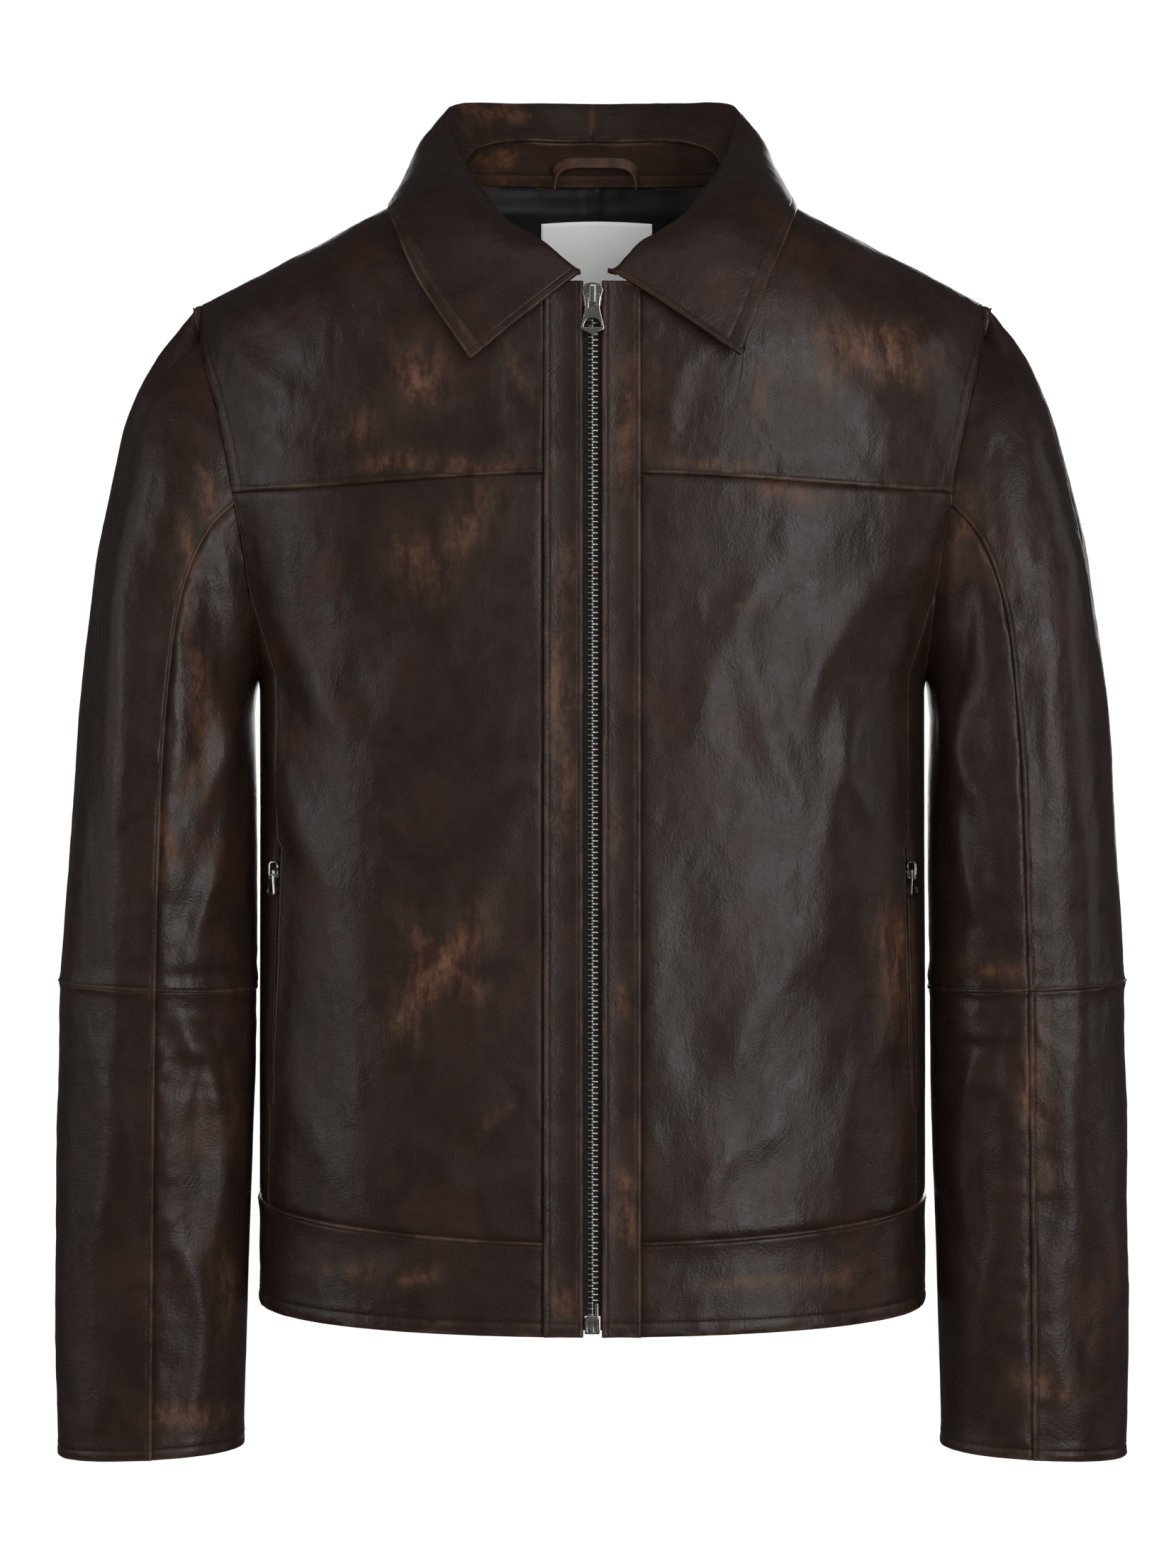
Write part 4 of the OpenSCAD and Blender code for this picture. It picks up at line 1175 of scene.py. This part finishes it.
# ------------------------------------------------------------------ hardware
SLIDER_Z = 619.0                            # the main slider's height up the chain
POCKET_OUT, POCKET_TOP = 3.5, 140.0         # how deep the pocket's zip lies, and how high its slider stands
POCKET_SCALE = np.array([.72, 1.0, .72])    # a pocket's slider beside the main one
PULL_Y = -6.7
TOOTH = ((3.5, .30, .9), (2.9, .50, 1.25), (1.9, .52, 1.3), (1.2, .56, 1.3),    # x, half height, half depth
         (.7, .78, 1.42), (.15, .86, 1.46), (-.45, .72, 1.2), (-.85, .30, .5))


def on_zip(p):
    """From the main zip's frame, whose z runs up the chain, to design millimetres."""
    x, y, z = p[..., 0], p[..., 1], p[..., 2]
    return pack3(x, -ZIP_D + y * ZIP_C + z * ZIP_S, -y * ZIP_S + z * ZIP_C)


def tooth_mesh(flip, sides=12):
    """One cast tooth: a slim arm with a rounded head, drawn as a lofted bar."""
    rings = []
    for x, half_h, half_d in TOOTH:
        for k in range(sides):
            c, s = squared(2 * math.pi * k / sides, .55, .55)
            rings.append((x, half_d * c, half_h * s))
    v = np.array(rings)
    q = tube_quads(len(TOOTH), sides)
    if flip:
        v[:, 0] *= -1
        return v, q
    return v, q[:, ::-1]


def chain(name, side, place, scale=1.0, first=22.0, last=606.0, pitch=3.4):
    """Half a zip chain: the same tooth repeated along z, on the side (-1 or 1) of the middle."""
    v, q = tooth_mesh(side < 0)
    zs = np.arange(first + (0 if side > 0 else pitch / 2), last, pitch)
    verts = (v[None] * scale + np.stack([zs * 0, zs * 0, zs], -1)[:, None]).reshape(-1, 3)
    quads = (q[None] + (np.arange(len(zs)) * len(v))[:, None, None]).reshape(-1, 4)
    return to_mesh(name, place(verts), quads, [NICKEL_TEETH])


def pocket_place(left):
    """From the pocket zip's frame, whose z runs up the seam, to design millimetres."""
    foot = torso(look(134.0, POCKET_U), np.array(134.0))
    up = torso(look(284.0, POCKET_U), np.array(284.0)) - foot
    up /= np.linalg.norm(up)
    ax, ay, az = math.asin(-up[1]), math.atan2(up[0], up[2]), math.radians(62)
    rx = np.array([[1, 0, 0], [0, math.cos(ax), -math.sin(ax)], [0, math.sin(ax), math.cos(ax)]])
    ry = np.array([[math.cos(ay), 0, math.sin(ay)], [0, 1, 0], [-math.sin(ay), 0, math.cos(ay)]])
    rz = np.array([[math.cos(az), -math.sin(az), 0], [math.sin(az), math.cos(az), 0], [0, 0, 1]])
    turn = ry @ rx @ rz

    def place(p):
        return (p @ turn.T + foot) * np.array([1 if left else -1, 1, 1])
    return place


def extruded(name, outline, holes, half_thick, bevel, material, place):
    """A plate cut from an outline with holes and rounded all round its edges; place moves its points."""
    c = bpy.data.curves.new(name, "CURVE")
    c.dimensions, c.fill_mode = "2D", "BOTH"
    c.extrude, c.bevel_depth, c.bevel_resolution, c.offset = half_thick - bevel, bevel, 3, -bevel
    for loop in [outline, *holes]:
        s = c.splines.new("POLY")
        s.points.add(len(loop) - 1)
        for p, (x, y) in zip(s.points, loop):
            p.co = (x, y, 0, 1)
        s.use_cyclic_u = True
    tmp = new_object(name + ".tmp", c)
    bpy.context.view_layer.update()
    me = bpy.data.meshes.new_from_object(tmp.evaluated_get(bpy.context.evaluated_depsgraph_get()))
    bpy.data.objects.remove(tmp)
    co = np.zeros(len(me.vertices) * 3)
    me.vertices.foreach_get("co", co)
    set_points(me, place(co.reshape(-1, 3)))
    me.materials.clear()
    me.materials.append(material)
    me.name = name
    return new_object(name, me)


def mirrored(half):
    """Closes a half outline, given from the middle top down to the middle bottom."""
    return half + [(-x, z) for x, z in half[-2:0:-1]]


def joined(objects):
    first = objects[0]
    with bpy.context.temp_override(active_object=first, selected_editable_objects=objects, object=first,
                                   selected_objects=objects):
        bpy.ops.object.join()
    return first


PULL = mirrored([(0, 1.1), (3.2, 1.1), (4.3, .7), (4.75, -.4), (4.35, -3.4), (4.2, -5.0), (4.35, -7.4),
                 (4.9, -10.2), (5.9, -14.6), (6.9, -18.7), (7.0, -19.4), (6.75, -20.0), (4.2, -21.4),
                 (1.2, -23.0), (0, -23.3)])
PULL_SLOT = mirrored([(0, -.9), (1.9, -.9), (2.3, -1.3), (2.3, -7.2), (1.9, -7.6), (0, -7.6)])
PULL_HOLE = mirrored([(0, -13.2), (1.9, -13.45), (3.5, -14.4), (4.7, -16.0), (5.35, -18.0), (5.3, -18.7),
                      (4.9, -19.0), (0, -19.0)])
PLATE = mirrored([(0, 8.0), (2.6, 8.0), (4.4, 7.3), (5.9, 4.9), (6.25, 3.6), (5.9, 2.0), (4.9, -1.6),
                  (4.6, -5.6), (4.0, -6.8), (2.8, -7.3), (0, -7.4)])
# seen from the side, as y and z
ARCH = [(-5.0, -5.2), (-8.1, -5.3), (-8.9, -4.5), (-9.15, -3.2), (-9.15, 5.2), (-8.7, 6.8), (-7.7, 7.7),
        (-5.0, 7.9), (-5.0, 6.6), (-7.1, 6.4), (-7.9, 5.6), (-8.1, 4.8), (-8.1, -3.3), (-7.9, -4.0),
        (-7.3, -4.2), (-5.0, -4.2)]
WALL = [(-4.3, -6.2), (-4.3, 2.4), (-2.2, 3.4), (-2.0, 3.0), (-2.0, -6.2)]
BACK_WALL = [(2.3, -6.2), (2.4, 3.0), (3.4, 2.4), (3.4, -6.2)]
POST = [(-4.4, 4.2), (-4.4, 7.0), (3.2, 7.0), (3.2, 4.2)]


def facing_front(place, y, x=0.0, z=0.0, scale=1.0):
    """Places a plate's points with its outline seen from the front, at a depth y."""
    return lambda p: place(np.stack([x + p[:, 0], y + p[:, 2], z + p[:, 1]], -1) * scale)


def facing_side(place, x, scale):
    """Places a plate's points with its outline seen from the side."""
    return lambda p: place(np.stack([x + p[:, 2], p[:, 0], p[:, 1]], -1) * scale)


def slider_parts(name, place, scale):
    """Body of a slider: a front plate, walls that guide the teeth and the arch that holds the pull. The main
    one also has a back plate, on a post beside the right teeth; a pocket's teeth leave no room for one."""
    parts = [extruded(name, PLATE, [], .62, .3, NICKEL, facing_front(place, -4.55, scale=scale)),
             extruded(name + "_b", ARCH, [], 1.75, .42, NICKEL, facing_side(place, 0, scale))]
    two_plates = name == "zip_slider_body"
    for k, x in enumerate((-4.9, 4.9)):
        at_side = facing_side(place, x, scale)
        parts.append(extruded(f"{name}_c{k}", WALL, [], .42, .12, NICKEL, at_side))
        if two_plates:
            parts.append(extruded(f"{name}_d{k}", BACK_WALL, [], .42, .12, NICKEL, at_side))
    if two_plates:
        parts.append(extruded(name + "_e", PLATE, [], .5, .25, NICKEL, facing_front(place, 3.2, scale=scale)))
        parts.append(extruded(name + "_f", POST, [], .45, .15, NICKEL, facing_side(place, 1.5, scale)))
    return joined(parts)


def pull_parts(name, place, scale):
    """Bell-shaped tab with its crossbar."""
    front = facing_front(place, PULL_Y, scale=scale)
    return extruded(name, PULL, [PULL_SLOT, PULL_HOLE], .75, .28, NICKEL, front)


def above(place, y, z):
    return lambda p: place(p + np.array([0, y, z]))


TAPE_OUTLINE = [(4.58, 4), (15, 4), (15, 622), (.08, 622), (.08, 12.4), (4.58, 12.4)]
at_slider = above(on_zip, 0, SLIDER_Z)
hardware = [("zip_slider_body", "zip_slider", slider_parts, at_slider, 1.0, "zip_slider"),
            ("zip_pull_tab", "zip_pull", pull_parts, at_slider, 1.0, "zip_pull")]
for left in (True, False):
    side = FRONT_NAMES[left]
    piece = chain("zip_chain_" + side, 1 if left else -1, on_zip, first=22.0 if left else 11.8)
    finish_piece(piece, "nickel", "zip_teeth_" + side)
    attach(piece, "front_" + side)
    outline = [(x if left else -x, z) for x, z in TAPE_OUTLINE]
    piece = extruded("zip_tape_woven_" + side, outline, [], .25, .08, TAPE, facing_front(on_zip, 1.78))
    finish_piece(piece, "zip_tape", "zip_tape_" + side)
    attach(piece, "front_" + side)
    seam = pocket_place(left)
    on_seam, at_top = above(seam, POCKET_OUT, 0), above(seam, POCKET_OUT, POCKET_TOP)
    piece = joined([chain("pocket_zip_chain_" + side, k, on_seam, .72, 3.0, 131.0, 2.5) for k in (1, -1)])
    finish_piece(piece, "nickel", "pocket_zip_teeth_" + side)
    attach(piece, "torso")
    for body, build, part in (("pocket_slider_", slider_parts, "pocket_slider_body_"),
                              ("pocket_pull_", pull_parts, "pocket_pull_tab_")):
        hardware.append((part + side, body + side, build, at_top, POCKET_SCALE, body + side))
for name, node, build, place, scale, body in hardware:
    piece = build(name, place, scale)
    finish_piece(piece, "nickel", node)
    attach(piece, body)

BOX = [(-4.5, .4), (-4.5, 8.6), (-3.9, 9.6), (-2.6, 10.0), (2.6, 10.0), (3.9, 9.6), (4.5, 8.6), (4.5, .4),
       (3.9, 0), (-3.9, 0)]
BOX_WINDOWS = [[(-2.9, 7.6), (-.9, 7.6), (-.9, 1.6), (-2.9, 1.6)],
               [(.9, 7.6), (2.9, 7.6), (2.9, 1.6), (.9, 1.6)]]
BOX_SIDE = [(-4.4, .6), (-4.4, 9.2), (-3.3, 9.2), (-3.3, .6)]
PIN = mirrored([(0, 17.2), (.7, 17.0), (1.0, 16.2), (1.0, .5), (.5, 0), (0, 0)])


def on_foot(y):
    """Places the box's plates at the foot of the zip."""
    return facing_front(on_zip, y, -.2, 2.2)


piece = joined([extruded("zip_retainer_box", BOX, BOX_WINDOWS, .6, .28, NICKEL, on_foot(-2.3)),
                extruded("zip_box_b", BOX, [], .5, .25, NICKEL, on_foot(2.1)),
                extruded("zip_box_c", BOX_SIDE, [], 1.8, .2, NICKEL, on_foot(0))])
finish_piece(piece, "nickel", "zip_box")
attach(piece, "front_right")
piece = extruded("zip_insert_pin", PIN, [], .85, .3, NICKEL, facing_front(on_zip, 0, 2.4, 3))
finish_piece(piece, "nickel", "zip_pin")
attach(piece, "front_left")

for node in ("pocket_zip_tape_left", "pocket_zip_tape_right"):
    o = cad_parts[node]
    o.data.materials.clear()
    o.data.materials.append(TAPE)

# ------------------------------------------------------------------ studio
FLOOR_Z = -1.55
SWEEP = [(0, 0), (3, 0), (6.0, 0), (7.5, .25), (8.4, .9), (8.8, 2.0), (8.9, 4), (8.9, 8)]  # radius, height
CENTRE = (0, 0, -.37)
LIGHTS = [  # name, place, width, height, watts, and whether it shows in reflections
    ("key_right", (1.45, -2.7, -.02), .9, 2.4, 40, True),
    ("key_left", (-2.8, -1.7, .2), .8, 2.3, 20, True),
    ("side_right", (2.9, -.3, .2), .8, 2.2, 10, True),
    ("side_left", (-2.9, -.2, .2), .8, 2.2, 6, True),
    ("front_top", (0.2, -2.6, 2.6), 2.2, 1.0, 8, True),
    ("back_soft", (.3, 3.2, .2), 2.2, 1.6, 50, True),
    ("front_fill", (0, -3.4, -.1), 2.0, 2.0, 74, False),
    ("back_fill", (0, 3.4, -.3), 2.0, 2.0, 50, False),
]


def studio(around=64):
    """A white sweep all round the jacket, and lights that the sweep doesn't take part in."""
    m, t, bsdf = nodes_of("studio_paper")
    feed(t, bsdf, {"Base Color": (.80, .80, .80), "Roughness": .9, "Specular IOR Level": 0,
                   "Emission Color": (1, 1, 1), "Emission Strength": .93})
    verts, faces = [], []
    for r, h in SWEEP:
        for k in range(around):
            b = 2 * math.pi * k / around
            verts.append((r * math.cos(b), r * math.sin(b), h + FLOOR_Z))
    for j in range(len(SWEEP) - 1):
        for k in range(around):
            here, there = j * around + k, j * around + (k + 1) % around
            faces.append((here, there, there + around, here + around))
    me = bpy.data.meshes.new("studio_floor")
    me.from_pydata(verts, [], faces)
    me.polygons.foreach_set("use_smooth", [True] * len(faces))
    me.materials.append(m)
    floor = new_object("studio_floor", me)
    floor.visible_glossy = floor.visible_diffuse = floor.visible_shadow = False
    world = bpy.data.worlds.new("studio")
    world.use_nodes = True
    feed(world.node_tree, world.node_tree.nodes["Background"], {"Color": (1, 1, 1), "Strength": .07})
    bpy.context.scene.world = world
    for name, place, wide, high, watts, shines in LIGHTS:
        light = bpy.data.lights.new(name, "AREA")
        light.shape, light.size, light.size_y, light.energy = "RECTANGLE", wide, high, watts
        o = new_object(name, light)
        o.location = place
        o.rotation_euler = (Vector(CENTRE) - Vector(place)).to_track_quat("-Z", "Y").to_euler()
        o.visible_glossy = shines
    view = bpy.context.scene.view_settings
    view.view_transform, view.look = "Standard", "None"


def camera():
    data = bpy.data.cameras.new("camera")
    data.sensor_width = 36
    data.sensor_fit = "AUTO"
    data.lens = 91.06
    data.shift_y = -.056
    cam = new_object("camera", data)
    cam.location = row((-2.7, -2472, 380))
    cam.rotation_euler = (math.pi / 2, 0, 0)
    bpy.context.scene.camera = cam


studio()
camera()
